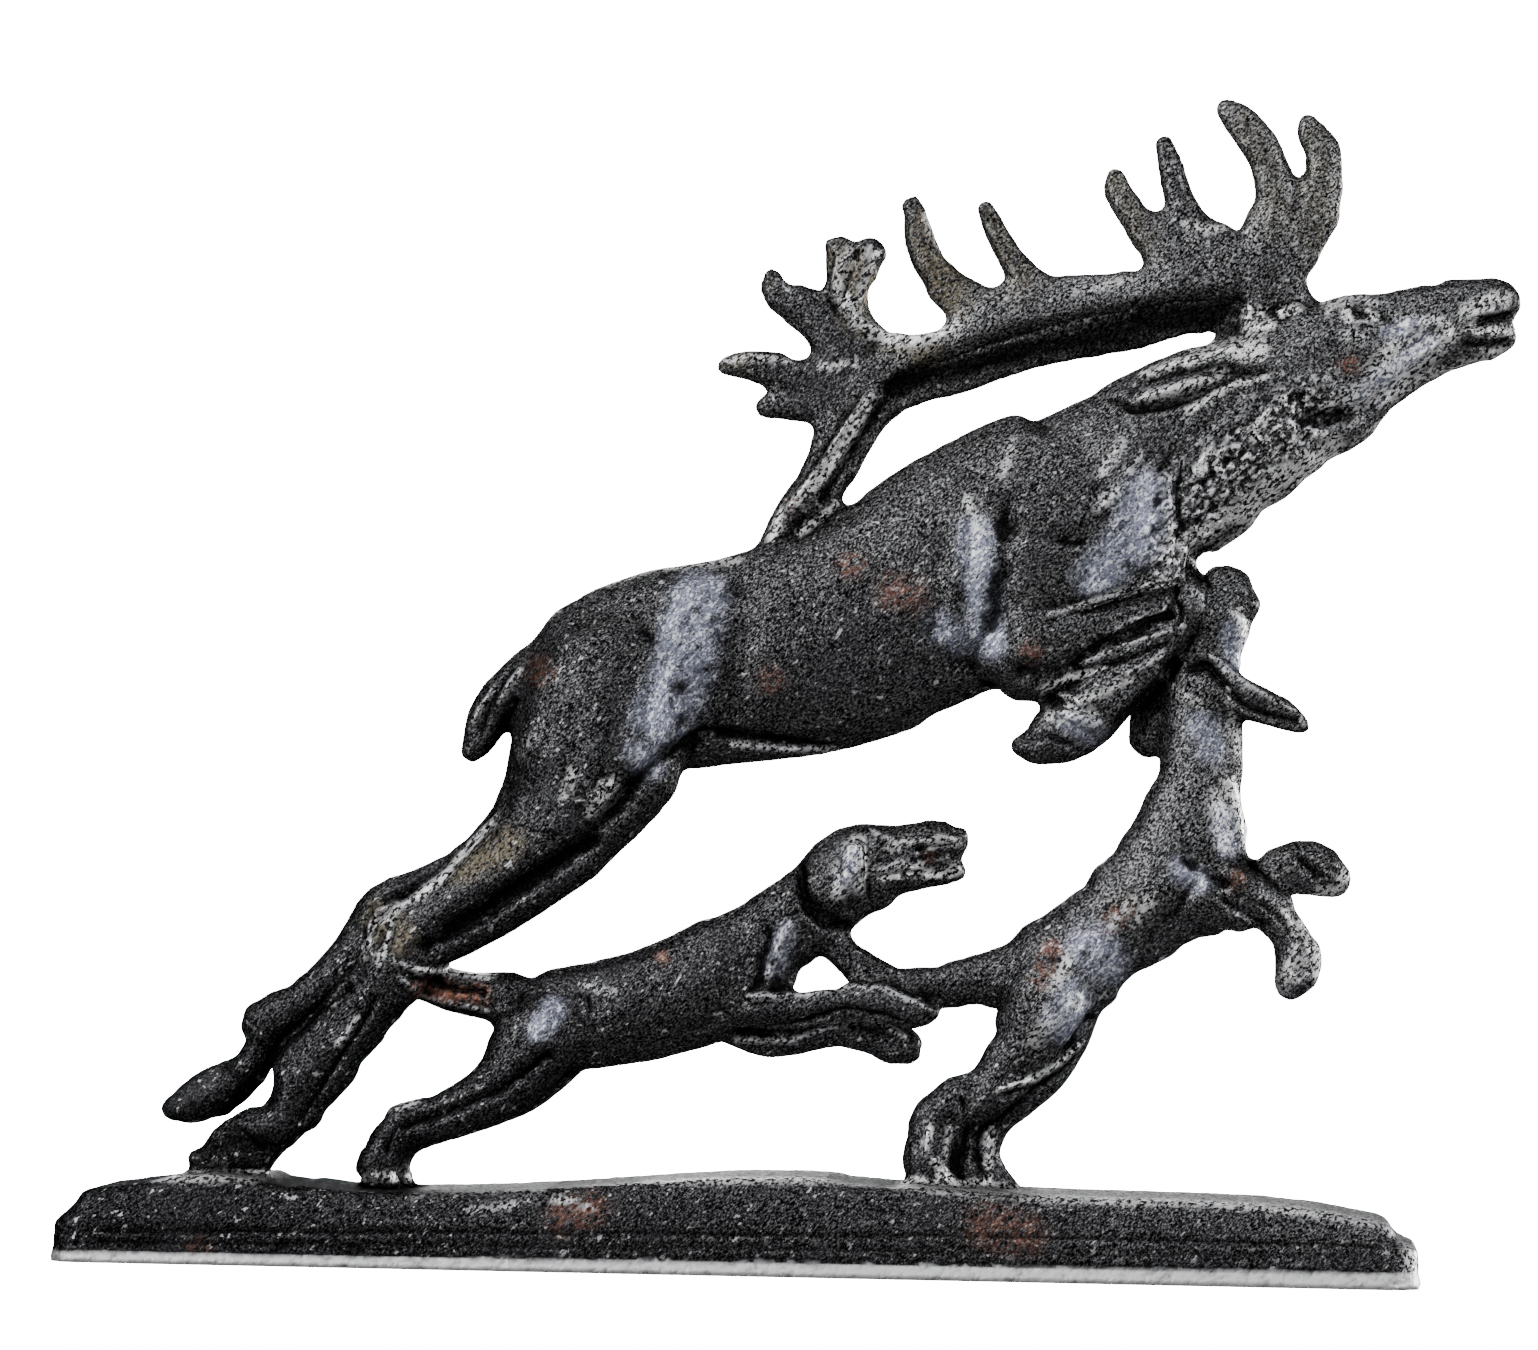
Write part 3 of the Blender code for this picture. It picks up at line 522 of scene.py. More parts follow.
ANTLERS = (
    (4.2, 2.6, ((38, 230), (51.5, 237), (66, 242.5), (80, 246), (99, 250), (117, 253.5), (127, 253))),
    (1.4, -1.5, ((32, 228), (26, 220.5), (19.5, 210), (14.5, 203), (10.5, 197.5))),
    (2.2, 1.3, ((35.5, 226), (29.5, 216.5), (24, 207.5), (20, 200.5))),
    (1.6, -1.1, ((24.5, 251), (29, 247), (35.5, 244), (44, 243), (51, 244.5))),
    (1.0, -0.9, ((23, 264.5), (21.5, 258), (22, 253.5))),
    (1.0, -0.9, ((26.5, 263), (24.5, 257), (23, 252.5))),
    (1.1, 1.1, ((27.5, 266), (25.5, 259), (24, 254))),
    (1.0, -0.8, ((31.5, 267), (30, 263))),
)
REAR_HOUND = (
    (1.3, -1.2, ((28.5, 109.5), (31, 111), (31.5, 105.5))),
    (2.6, -1.0, ((28.5, 109), (27.5, 101.5), (30, 105), (31, 99))),
    (1.1, 0.8, ((32.5, 112), (32.5, 106.5), (33, 102), (33.5, 98))),
    (1.7, 2.0, ((15, 104.5), (15.5, 100), (17.5, 94.5), (22.5, 89), (27.5, 90))),
    (1.0, -0.9, ((34, 114.5), (37, 113.5), (39, 113))),
    (1.2, 1.9, ((46, 110), (49, 110), (53, 110.5), (55, 111))),
    (1.1, -0.9, ((42.5, 111), (49, 112.5), (53.5, 114))),
    (0.9, -0.7, ((46.5, 106.5), (50.5, 107.5), (54, 108))),
    (1.2, 1.2, ((36.5, 102.5), (41.5, 103.5), (48, 104), (55.5, 103.5))),
    (1.1, -0.8, ((37.5, 104), (42.5, 105), (46.5, 105.5))),
    (1.2, -0.8, ((36.5, 104), (41.5, 106.5), (45, 105))),
    (0.9, 0.9, ((55, 115), (56.5, 114.5))),
    (1.5, -0.9, ((13.5, 90), (11, 85.5), (8.5, 80.5))),
    (1.5, -0.8, ((9.5, 82), (8, 76.5))),
    (3.5, 0.5, ((0.5, 89.5), (-1, 80.5), (-2.5, 70))),
    (1.3, -1.0, ((3, 71), (16, 72), (29.5, 74.5), (38, 74), (45.5, 70.5), (51, 68))),
    (1.5, 1.9, ((-0.5, 61.5), (13.5, 63.5), (27.5, 68), (37, 67), (45, 63.5))),
    (1.2, -0.9, ((-1, 59.5), (13, 59.5), (25, 64), (35.5, 65), (42.5, 61.5))),
    (6.0, 0.3, ((-36.5, 69.5), (-38.5, 61.5), (-41.5, 56))),
    (6.0, -1.2, ((-48.5, 67), (-49, 59))),
    (2.4, 1.7, ((-86.5, 35.5), (-74.5, 40), (-61.5, 45.5), (-53.5, 51), (-49, 55))),
    (1.5, -1.0, ((-93, 39.5), (-89, 41), (-83.5, 42.5))),
    (1.6, 1.2, ((-89, 35), (-91, 29))),
    (1.0, -1.0, ((-91.5, 80), (-85.5, 77), (-76, 75.5), (-66, 75))),
    (1.8, 1.4, ((-84, 74), (-76, 72), (-67, 71))),
    (0.9, -0.8, ((-88, 74.5), (-81.5, 69), (-70.5, 67), (-66, 66))),
)
FRONT_HOUND = (
    (1.6, 2.0, ((115.5, 158), (120.5, 158.5), (124, 154.5), (130, 148), (136.5, 145.5), (143.5, 144.5))),
    (1.3, -1.1, ((121.5, 161), (126.5, 157), (133.5, 152), (142, 147.5))),
    (1.0, -0.8, ((119, 179.5), (118.5, 176.5), (119, 173.5))),
    (1.0, 0.8, ((127.5, 174), (130, 171.5))),
    (0.9, 0.9, ((127.5, 178), (131.5, 176))),
    (0.9, 0.9, ((128, 175), (131.5, 173.5))),
    (1.5, 2.2, ((112.5, 179.5), (112, 175.5), (113.5, 171.5), (113, 168))),
    (2.0, -0.9, ((128.5, 170.5), (128, 164.5), (129, 159.5))),
    (1.5, -0.9, ((126.5, 128.5), (128.5, 122.5), (130, 113.5))),
    (2.0, 1.2, ((114.5, 108), (120, 105.5), (126, 102))),
    (1.6, 1.1, ((125, 98), (130, 95), (135, 92))),
    (1.2, 1.1, ((135, 97), (141, 92), (144, 87))),
    (2.4, 1.6, ((145, 108.5), (148, 105.5), (151, 103.5))),
    (7.0, -0.9, ((93.5, 87.5), (90, 75.5), (86, 64.5))),
    (1.1, -1.1, ((68.5, 48.5), (77.5, 51), (83.5, 55), (89, 60.5))),
    (1.4, 1.7, ((68.5, 46.5), (77, 48.5), (84, 52.5), (89.5, 58))),
    (1.6, 1.0, ((58.5, 45.5), (60, 39), (59, 31), (58, 24.5))),
    (1.2, -0.9, ((50, 37), (49.5, 31))),
    (1.1, -0.8, ((55.5, 38), (54.5, 33.5), (54, 30))),
    (1.2, -0.9, ((64.5, 37), (64, 33.5), (64.5, 30))),
    (1.0, -0.9, ((52, 30), (55, 26.5), (58, 24))),
)
PLINTH = (
    (0.9, 0.5, ((-162.5, 8), (-84.5, 9.5), (69.5, 11.5), (166, 11))),
    (0.9, 0.3, ((-162.5, 5.5), (0, 7), (166, 8))),
)
STROKES = (STAG_HEAD + STAG_NECK + STAG_SHOULDER + STAG_HIND + ANTLERS + REAR_HOUND + FRONT_HOUND
           + PLINTH)
print(len(STROKES), "strokes")


# %% Press the strokes into the skin
FAR_SHARE = 0.6


def press(obj, strokes, far_share):
    """Move the faces of the casting in along their normals under each stroke."""
    places, normals = read_places(obj.data)
    strength = np.abs(normals[:, 1]) * np.where(normals[:, 1] > 0.0, far_share, 1.0)
    write_places(obj.data, places - normals * (depth_under(places, strokes) * strength)[:, None])


press(casting, STROKES, FAR_SHARE)
report(casting, "carved")

# %% [markdown]
# ## Mane, coat and casting skin
#
# The throat carries a mane of short tufts, the coat is faintly furrowed, and sand leaves a pebbled skin
# all over. A Displace modifier moves points by a texture's grey, and a vertex group says where it may
# act, so the tufts stay on the throat.

# %% Group the points of the mane and of the coat
MANE = ((111, 189), (118, 202), (127, 212), (136, 219), (147, 226))
MANE_REACH = 12.0
MANE_FIRMNESS = 1.6
# The coat starts just above the plinth
COAT_LEVEL = 26.0
COAT_FADE = 4.0
GROUP_STEPS = 10


def rising(values, start, span):
    """From 0 at the start to 1 a span further on, which may be a span down."""
    return np.clip((values - start) / span, 0.0, 1.0)


def in_mane(places):
    """How much each place belongs to the mane, from 0 to 1."""
    return np.clip(MANE_FIRMNESS * (1.0 - gap_to_line(places, MANE) / MANE_REACH), 0.0, 1.0)


def group_points(obj, name, weights):
    """A vertex group from an array of weights, in even steps."""
    group = obj.vertex_groups.new(name=name)
    steps = np.round(weights * GROUP_STEPS).astype(int)
    for step in range(1, GROUP_STEPS + 1):
        group.add([int(i) for i in np.nonzero(steps == step)[0]], step / GROUP_STEPS, "REPLACE")


places, normals = read_places(casting.data)
mane = in_mane(places)
group_points(casting, "mane", mane)
group_points(casting, "coat", rising(places[:, 2], COAT_LEVEL, COAT_FADE))
print("mane points:", int((mane > 0).sum()))


# %% Displace them with textures
# The tufts run up to the right, and are longer than they are wide
TUFT_LEAN = math.radians(45)
TUFT_STRETCH = 1.9
TUFT_SIZE = 1.4 * MM
TUFT_DEPTH = 1.2 * MM
TUFT_CONTRAST = 1.8
FURROW_SIZE = 9.0 * MM
FURROW_DEPTH = 0.6 * MM
PEBBLE_SIZE = 2.6 * MM
PEBBLE_DEPTH = 0.35 * MM


def clouds(name, size, detail=1, contrast=1.0):
    """A cloudy texture with lumps of this size, for the Displace modifier."""
    made = bpy.data.textures.new(name, "CLOUDS")
    made.noise_scale = size
    made.noise_depth = detail
    made.contrast = contrast
    return made


bpy.ops.object.empty_add()
slant = bpy.context.object
slant.rotation_euler = (0.0, TUFT_LEAN, 0.0)
slant.scale = (1.0, 1.0, TUFT_STRETCH)
bpy.context.view_layer.update()
tufts = clouds("tufts", TUFT_SIZE, contrast=TUFT_CONTRAST)
furrows = clouds("furrows", FURROW_SIZE)
pebbles = clouds("pebbles", PEBBLE_SIZE, detail=2)
apply_modifier(casting, "DISPLACE", texture=tufts, vertex_group="mane", strength=TUFT_DEPTH,
               texture_coords="OBJECT", texture_coords_object=slant)
apply_modifier(casting, "DISPLACE", texture=furrows, vertex_group="coat", strength=FURROW_DEPTH)
apply_modifier(casting, "DISPLACE", texture=pebbles, strength=PEBBLE_DEPTH)
pick(slant)
bpy.ops.object.delete()
report(casting, "with its coat")

# %% [markdown]
# ## Fewer triangles
#
# Flat stretches don't need the small cells, so a Decimate modifier brings the piece under its limit
# and keeps the cells where the form turns.

# %% Thin the mesh out
TRIANGLES = 192000
now = sum(len(polygon.vertices) - 2 for polygon in casting.data.polygons)
apply_modifier(casting, "DECIMATE", ratio=min(1.0, TRIANGLES / now), use_collapse_triangulate=True)
casting.vertex_groups.clear()
casting.data.shade_smooth()
report(casting, "thinned")

# %% [markdown]
# ## Painted highlights and shade, and rust
#
# Light and shade are painted into the finish: raised lines and rims get painted highlights, partly rubbed
# metal, the broad forms a painted sheen, hollows and side faces painted shade, and rust blooms in patches.
# Each is a number at every point of the mesh, which the material reads by name. The painted shade in the
# hollows and the painted highlight on the tips of the tufts come from comparing the skin with a smoothed
# copy of itself, and most of the rest comes from strokes in the side view.

# %% Measure the hollows and the tufts
RELIEF_PASSES = 10
TUFT_PASSES = 2


def smoothed(places, pairs, passes):
    """Each place moved to the mean of its neighbours, several times."""
    count = len(places)
    first, second = pairs[:, 0], pairs[:, 1]
    share = 1.0 / np.maximum(np.bincount(first, minlength=count) + np.bincount(second, minlength=count), 1)
    for _ in range(passes):
        total = np.empty_like(places)
        for axis in range(3):
            column = places[:, axis]
            total[:, axis] = (np.bincount(first, weights=column[second], minlength=count)
                              + np.bincount(second, weights=column[first], minlength=count))
        places = total * share[:, None]
    return places


places, normals = read_places(casting.data)
edges = np.empty(len(casting.data.edges) * 2, dtype=np.int64)
casting.data.edges.foreach_get("vertices", edges)
pairs = edges.reshape(-1, 2)
relief = ((places - smoothed(places, pairs, RELIEF_PASSES)) * normals).sum(axis=1)
fine = ((places - smoothed(places, pairs, TUFT_PASSES)) * normals).sum(axis=1)
print("relief", np.round(np.percentile(relief, (2, 10, 50, 90, 98)), 2), "mm")

# %% Describe the patches
# Each is a width in millimetres, an amount from 0 to 1, and a line of points in the side view
# Painted sheen: blue-grey and blue-white highlights where the forms stand out most
PAINTED_SHEEN_PATCHES = (
    (7.5, 1.0, ((-11.5, 174), (-14.5, 160))), (7.5, 1.0, ((-15, 156), (-20, 143))),
    (4.0, 0.9, ((-24, 131), (-25.5, 134))),
    (4.5, 0.9, ((60, 192), (62, 176), (63.5, 163))), (4.0, 0.6, ((51, 168), (56, 164))),
    (6.5, 1.0, ((104, 202), (101, 190))), (6.0, 0.9, ((97, 188), (92, 181))),
    (3.5, 0.7, ((85.5, 143), (91, 140.5))), (4.0, 0.8, ((119, 143), (121, 137))),
    (3.5, 0.8, ((114, 106), (118.5, 103))), (6.0, 1.0, ((91.5, 86), (95, 82))),
    (5.0, 0.9, ((87, 72), (84, 66))), (3.5, 0.8, ((-48, 67), (-51, 62))),
    (2.2, 0.8, ((28.5, 109), (27.5, 101))), (3.0, 0.5, ((12, 88), (9, 79))),
    (3.2, 1.0, ((160, 228.5), (176, 242))), (2.4, 0.8, ((166, 245), (173, 247))),
    (3.0, 0.6, ((126.5, 168), (127, 160))), (3.0, 0.6, ((124.5, 120), (126, 112))),
)
# Rust
RUST = (
    (3.0, 1.0, ((-82, 71.5), (-68, 70.5))), (3.0, 0.8, ((155.5, 236.5),)), (3.2, 0.7, ((75, 161),)),
    (4.0, 0.5, ((28, 183),)), (5.0, 0.45, ((39, 176.5), (44, 175))), (4.0, 0.5, ((7.5, 153),)),
    (4.5, 0.5, ((-53, 155),)), (3.0, 0.55, ((100, 96), (96, 91))), (3.0, 0.55, ((81, 84), (79, 77))),
    (3.0, 0.55, ((128.5, 103.5),)), (2.5, 0.5, ((49, 108),)), (2.0, 0.7, ((-20, 81),)),
    (5.0, 0.5, ((-42, 14), (-36, 16))), (6.0, 0.5, ((66, 14), (76, 12))), (3.5, 0.4, ((-137, 4),)),
    (2.5, 0.6, ((12, 199),)),
)
# Old wax on the tines, the thigh and the hock
GOLDEN = (
    (6.0, 0.9, ((24, 262), (46, 240))), (6.0, 0.8, ((0, 268), (-4, 240))),
    (6.5, 0.9, ((46, 272), (52, 254))), (6.0, 0.5, ((95, 286), (100, 268))),
    (7.0, 0.4, ((128, 300), (136, 276))), (6.0, 0.4, ((146, 298), (148, 270))),
    (5.0, 0.8, ((28, 248), (36, 243.5))), (6.0, 0.4, ((64, 276), (70, 258))),
    (5.0, 0.9, ((-95, 90), (-88, 85))), (5.0, 0.8, ((-72, 104), (-60, 110))),
)
# Painted highlights: pale rims and streaks
STAG_HIGHLIGHTS = (
    (1.2, 0.8, ((102.5, 234), (107, 236), (111.5, 237.5))),
    (2.4, 0.9, ((114, 238.5), (120.5, 240.5), (125.5, 241.5))),
    (3.2, 0.8, ((127.5, 240.5), (132, 240.5))),
    (0.9, 0.7, ((114.5, 224), (120.5, 228), (128, 232), (138, 233.5))),
    (2.2, 0.3, ((104.5, 228), (115, 230), (123, 234.5))), (1.3, 1.0, ((129.5, 251.5), (129.5, 248))),
    (1.1, 1.0, ((132.5, 251), (132.5, 249))), (1.4, 0.9, ((138.5, 250.5), (142.5, 251.5))),
    (1.3, 1.0, ((130, 246), (135.5, 247))), (1.0, 0.9, ((159.5, 253), (162.5, 249))),
    (1.0, 0.9, ((154.5, 252), (155.5, 248.5))), (1.4, 0.8, ((154.5, 244.5), (159, 243.5))),
    (3.0, 1.0, ((156, 228), (164.5, 230), (167.5, 232.5), (171, 237.5), (177, 241), (180.5, 244.5))),
    (4.0, 0.55, ((163.5, 235.5), (168.5, 242), (175, 244.5))), (1.5, 0.8, ((169.5, 247.5), (179.5, 249))),
    (2.4, 0.85, ((185.5, 250.5), (189, 252.5), (194.5, 254.5))), (1.4, 0.9, ((184.5, 249), (188.5, 250))),
    (1.3, 0.9, ((186, 246.5), (192, 245.5), (198, 247))),
    (1.7, 0.5, ((162, 226), (167, 229), (170.5, 232), (174, 234), (181.5, 236), (192.5, 240),
     (197.5, 241.5))),
    (1.3, 0.3, ((117, 186), (125, 190), (132, 196), (138.5, 202), (144, 206), (153.5, 213),
     (161.5, 219.5), (165.5, 223.5))),
    (3.4, 0.75, ((128, 198), (133.5, 202.5), (139, 208), (145.5, 209.5), (152, 215.5))),
    (2.6, 0.6, ((113.5, 190), (120, 193), (125.5, 198.5))), (1.4, 0.7, ((131, 217), (135, 223))),
    (1.4, 0.7, ((117, 209), (120, 213.5))), (1.3, 0.6, ((91.5, 207), (94.5, 210.5), (98, 216.5))),
    (1.2, 0.6, ((91.5, 198.5), (96.5, 203.5))),
    (1.0, 0.95, ((88, 173.5), (94.5, 176), (102.5, 178), (112, 180.5))),
)
ANTLER_HIGHLIGHTS = (
    (1.8, 1.0, ((25.5, 253), (27.5, 248), (32, 245), (37, 243), (42, 242.5), (48.5, 243.5),
     (52.5, 246.5))),
    (1.0, 0.8, ((22.5, 255.5), (23.5, 262), (25.5, 266))),
    (1.0, 0.8, ((28, 253), (30, 259.5), (32.5, 265))),
    (1.1, 0.8, ((45.5, 275.5), (47.5, 271), (49, 267.5))),
    (1.0, 0.8, ((112, 274), (118, 272), (124, 273))),
    (0.9, 0.6, ((84, 256), (92.5, 257), (100.5, 259.5))), (0.9, 0.6, ((-7, 237), (0, 238), (10.5, 237))),
    (0.9, 0.8, ((18.5, 235.5), (28.5, 236.5))),
    (1.8, 0.95, ((31, 226), (27.5, 219), (20, 207), (11.5, 199))),
)
BODY_HIGHLIGHTS = (
    (0.9, 0.8, ((-83.5, 95.5), (-78, 100), (-72.5, 106), (-68.5, 111), (-64, 115.5))),
    (1.4, 0.7, ((-98, 80), (-97, 84), (-96.5, 88.5), (-91.5, 90.5))),
    (0.9, 0.6, ((-90, 90), (-91, 84.5), (-93, 79))), (0.9, 0.8, ((49, 112), (53, 112.5))),
    (1.2, 0.8, ((9, 197.5), (6, 190.5))), (0.9, 0.5, ((23, 199.5), (14, 192))),
    (1.0, 0.5, ((-59.5, 163), (-44.5, 175.5), (-25.5, 182), (-1.5, 184.5))),
    (1.3, 0.9, ((58, 200.5), (61, 192.5), (59.5, 186))), (1.3, 0.5, ((67, 207.5), (69, 216.5))),
    (0.9, 0.6, ((99.5, 208.5), (102, 212.5))), (2.2, 0.95, ((-38, 118.5), (-35, 122.5), (-32.5, 125))),
    (1.3, 0.7, ((-45.5, 122.5), (-42.5, 128.5))), (1.0, 0.5, ((-58, 133), (-54, 137))),
    (0.9, 0.8, ((77.5, 151.5), (86.5, 155.5), (93.5, 157.5))),
    (0.9, 0.8, ((79.5, 145), (88, 149), (100.5, 154.5))), (1.6, 0.7, ((84, 143.5), (87, 146), (91, 146))),
    (2.4, 0.85, ((26, 99), (27.5, 105.5), (30, 111.5))),
    (0.8, 0.8, ((31.5, 112.5), (32.5, 105.5), (31.5, 99.5))),
    (1.3, 0.8, ((37, 102.5), (42.5, 104), (47, 105))), (1.2, 0.9, ((49, 111), (52.5, 112), (56, 112))),
    (1.1, 0.9, ((48, 103.5), (52.5, 104), (56.5, 104.5))), (0.9, 0.6, ((38.5, 110.5), (44.5, 113))),
    (0.9, 0.9, ((-83.5, 76), (-75.5, 77), (-65.5, 75))), (1.3, 0.5, ((-39.5, 73.5), (-32.5, 71))),
)
HOUND_HIGHLIGHTS = (
    (1.5, 0.85, ((126, 128.5), (129, 122.5), (130.5, 116.5), (132, 110.5))),
    (3.0, 0.4, ((123, 124), (125, 113.5))), (1.2, 0.8, ((96.5, 91), (99.5, 95.5), (102, 98.5))),
    (1.0, 0.7, ((102.5, 91.5), (106.5, 98))), (2.0, 0.6, ((82.5, 75.5), (85.5, 81.5))),
    (2.6, 0.5, ((77.5, 61.5), (82.5, 68), (89, 72))), (0.9, 0.8, ((67.5, 48), (80, 53), (88, 59.5))),
    (1.0, 0.8, ((49, 32), (50.5, 38))), (1.1, 0.7, ((65, 28.5), (66.5, 38))),
    (1.0, 0.8, ((51.5, 30), (54, 26), (56, 24.5))), (1.0, 0.7, ((58.5, 23.5), (65.5, 24))),
    (1.7, 0.7, ((149.5, 100.5), (154, 101), (156.5, 105))),
    (1.5, 0.8, ((145.5, 92), (148.5, 85.5), (149, 79))), (3.2, 0.5, ((141, 77), (144, 83))),
    (0.9, 0.8, ((141.5, 95.5), (143.5, 90.5), (144, 85))),
    (1.2, 0.8, ((128, 172.5), (130.5, 165.5), (131.5, 160.5))),
    (0.9, 0.6, ((105.5, 159.5), (112, 152.5), (119, 148))),
    (1.0, 0.5, ((125.5, 152.5), (127.5, 142), (128, 134.5))),
)
PLINTH_HIGHLIGHTS = (
    (1.2, 0.6, ((-150, 22), (-128, 22.5), (-119, 22.5), (-82, 22.5), (-46.5, 23))),
    (0.9, 0.5, ((-82, 19.5), (-48, 21))),
    (1.3, 0.8, ((-46.5, 22.5), (-25.5, 24), (-6.5, 24.5), (15.5, 25), (37.5, 24.5), (49.5, 24))),
    (1.3, 0.8, ((49.5, 23.5), (59, 23), (72, 22.5), (78.5, 22))),
    (1.4, 1.0, ((78.5, 22), (94.5, 21.5), (105, 21.5))),
    (1.4, 1.0, ((105, 21.5), (120, 21.5), (138, 20.5))),
    (1.7, 1.0, ((138, 20.5), (151, 19.5), (166.5, 17), (169.5, 14.5))),
    (2.4, 0.9, ((173, 12.5), (174.5, 10), (174.5, 2.5))), (0.8, 0.5, ((-67, 15.5), (-55, 17))),
    (0.8, 0.6, ((-45, 19), (-36, 17))),
)
PAINTED_HIGHLIGHTS = STAG_HIGHLIGHTS + ANTLER_HIGHLIGHTS + BODY_HIGHLIGHTS + HOUND_HIGHLIGHTS + PLINTH_HIGHLIGHTS
# Painted shade: black under the antler beam, in creases, pits and slits, and between parts
PAINTED_SHADE_STROKES = (
    (5.6, 1.0, ((121, 250.5), (104, 248), (88.5, 243.5))),
    (3.8, 1.0, ((88.5, 243.5), (70.5, 240), (52.5, 235), (37, 230))),
    (2.6, 0.9, ((145.5, 223.5), (150.5, 222.5), (155, 223.5))),
    (1.4, 0.8, ((185.5, 242.5), (192, 242.5), (196.5, 244))), (1.0, 1.0, ((156, 251), (159, 250))),
    (0.9, 1.0, ((183.5, 248), (189, 249), (197, 250.5))), (0.8, 0.8, ((191.5, 254), (194.5, 255))),
    (0.9, 0.9, ((99.5, 228.5), (104.5, 234.5), (111, 235.5), (121, 234.5), (129, 233), (136.5, 234.5))),
    (1.0, 0.9, ((96, 227), (102, 224), (110, 225), (117.5, 228.5), (124, 231.5))),
    (2.0, 0.8, ((73.5, 157), (80, 154.5), (86, 154.5))),
    (1.6, 0.8, ((97.5, 143.5), (103, 149.5), (112, 158.5))),
    (1.2, 0.9, ((88.5, 171.5), (97.5, 174), (110.5, 177.5))),
    (1.6, 0.9, ((16, 104.5), (17, 99), (21.5, 93.5), (27.5, 89))),
    (0.9, 0.8, ((117, 188), (124, 192), (130.5, 197.5), (137.5, 203.5), (143.5, 207.5), (153, 215))),
    (0.6, 0.8, ((-162.5, 8), (-84.5, 9.5), (69.5, 11.5), (166, 11))),
    (0.6, 0.8, ((-162.5, 2.5), (-84.5, 3.5), (18.5, 5), (69.5, 5), (168.5, 4.5))),
    (1.4, 0.8, ((47, 108), (51.5, 109), (56, 109.5))), (0.8, 0.9, ((36.5, 113),)),
    (3.0, 0.8, ((-137.5, 27.5), (-130.5, 31), (-123, 31.5))),
    (2.0, 0.9, ((-106.5, 67), (-113, 61), (-119.5, 55.5), (-126, 50))),
    (2.2, 0.8, ((-126, 50), (-130.5, 44), (-135.5, 38.5))),
)
# Patches where more of the bare-metal grain shows, added to the painted light
LIGHTER_PATCHES = (
    (11.0, 0.5, ((126, 302), (136, 276))), (9.0, 0.45, ((147, 299), (150, 272))),
    (8.0, 0.4, ((97, 288), (102, 268))), (9.0, 0.5, ((118, 264), (62, 250), (36, 244))),
    (9.0, 0.45, ((118, 140), (112, 118), (98, 96), (84, 72))), (8.0, 0.3, ((142, 98), (146, 84))),
)
print(sum(len(group) for group in (PAINTED_SHEEN_PATCHES, RUST, GOLDEN, PAINTED_HIGHLIGHTS, PAINTED_SHADE_STROKES, LIGHTER_PATCHES)), "patches")

# %% Store the finish as numbers on the mesh
# Painted light: the bare-metal grain is lighter to the right and upwards, and darker to the lower left
PAINTED_LIGHT = 0.59
PAINTED_LIGHT_ALONG = 0.0015
PAINTED_LIGHT_UP = 0.0010
PAINTED_LIGHT_LEVEL = 150.0
PAINTED_LIGHT_LEAST = 0.15
# Patches are firm in the middle, soft at the border, and fainter on the far side
FIRMNESS = 1.5
SOFTNESS = 1.2
FAR_TURN = 0.3
FAR_FINISH = 0.45
# Painted highlight, partly rubbed metal: only narrow raised strokes are lightened, and the mane's tufts more
# than they are
NARROW = 4.0
RIDGE_SHINE = 0.5
RIDGE_WIDTH = 0.8
TUFT_START = 0.05
TIP_SPAN = 0.10
PIT_SPAN = 0.13
PIT_SHARE = 0.7
HOLLOW_START = 0.08
HOLLOW_SPAN = 0.35
FACING = 0.4
# Painted shade: the group's side faces turn dark above the plinth, and the foot of the plinth is paler
EDGE_LEVEL = 29.0
EDGE_FADE = 6.0
EDGE_TURN = 0.45
FOOT_TOP = 3.6
FOOT_RISE = 0.004
FOOT_FADE = 0.5
# On the plinth's top the painted highlight is strongest at the rims
RIM_FROM = 12.0
RIM_FADE = 6.0
MIDDLE_LOSS = 0.45
LYING = 0.7
LYING_SPAN = 0.2


def cover(strokes):
    """How much each point lies under the strokes, from 0 to 1, whichever side it is on."""
    total = np.zeros(len(places))
    for width, amount, points in strokes:
        share = np.clip(FIRMNESS - SOFTNESS * gap_to_line(places, points) / width, 0.0, 1.0)
        total = np.maximum(total, amount * share)
    return total


def store(name, values):
    """Keep an array as a named number on every point."""
    attribute = casting.data.attributes.new(name, "FLOAT", "POINT")
    attribute.data.foreach_set("value", values.astype(np.float32))
    print(name, "mean", round(float(values.mean()), 3))


side = np.abs(normals[:, 1])
height = places[:, 2]
near = np.where(normals[:, 1] > FAR_TURN, FAR_FINISH, 1.0)
facing = rising(side, 0.0, FACING)
# Painted sheen, fainter on the far side
store("painted_sheen", cover(PAINTED_SHEEN_PATCHES) * near)
store("rust", cover(RUST) * near)
store("golden", cover(GOLDEN))
painted_light = PAINTED_LIGHT + PAINTED_LIGHT_ALONG * places[:, 0] + PAINTED_LIGHT_UP * (height - PAINTED_LIGHT_LEVEL)
store("painted_light", np.clip(painted_light, PAINTED_LIGHT_LEAST, 1.0) + cover(LIGHTER_PATCHES))
middle = rising(np.abs(places[:, 1]), RIM_FROM + RIM_FADE, -RIM_FADE)
lying = rising(normals[:, 2], LYING, LYING_SPAN) * (height < EDGE_LEVEL)
# Painted highlights on the rims and streaks, fainter in the middle of the plinth's top
store("painted_highlight", cover(PAINTED_HIGHLIGHTS) * near * (1.0 - MIDDLE_LOSS * middle * lying))
mane = in_mane(places)
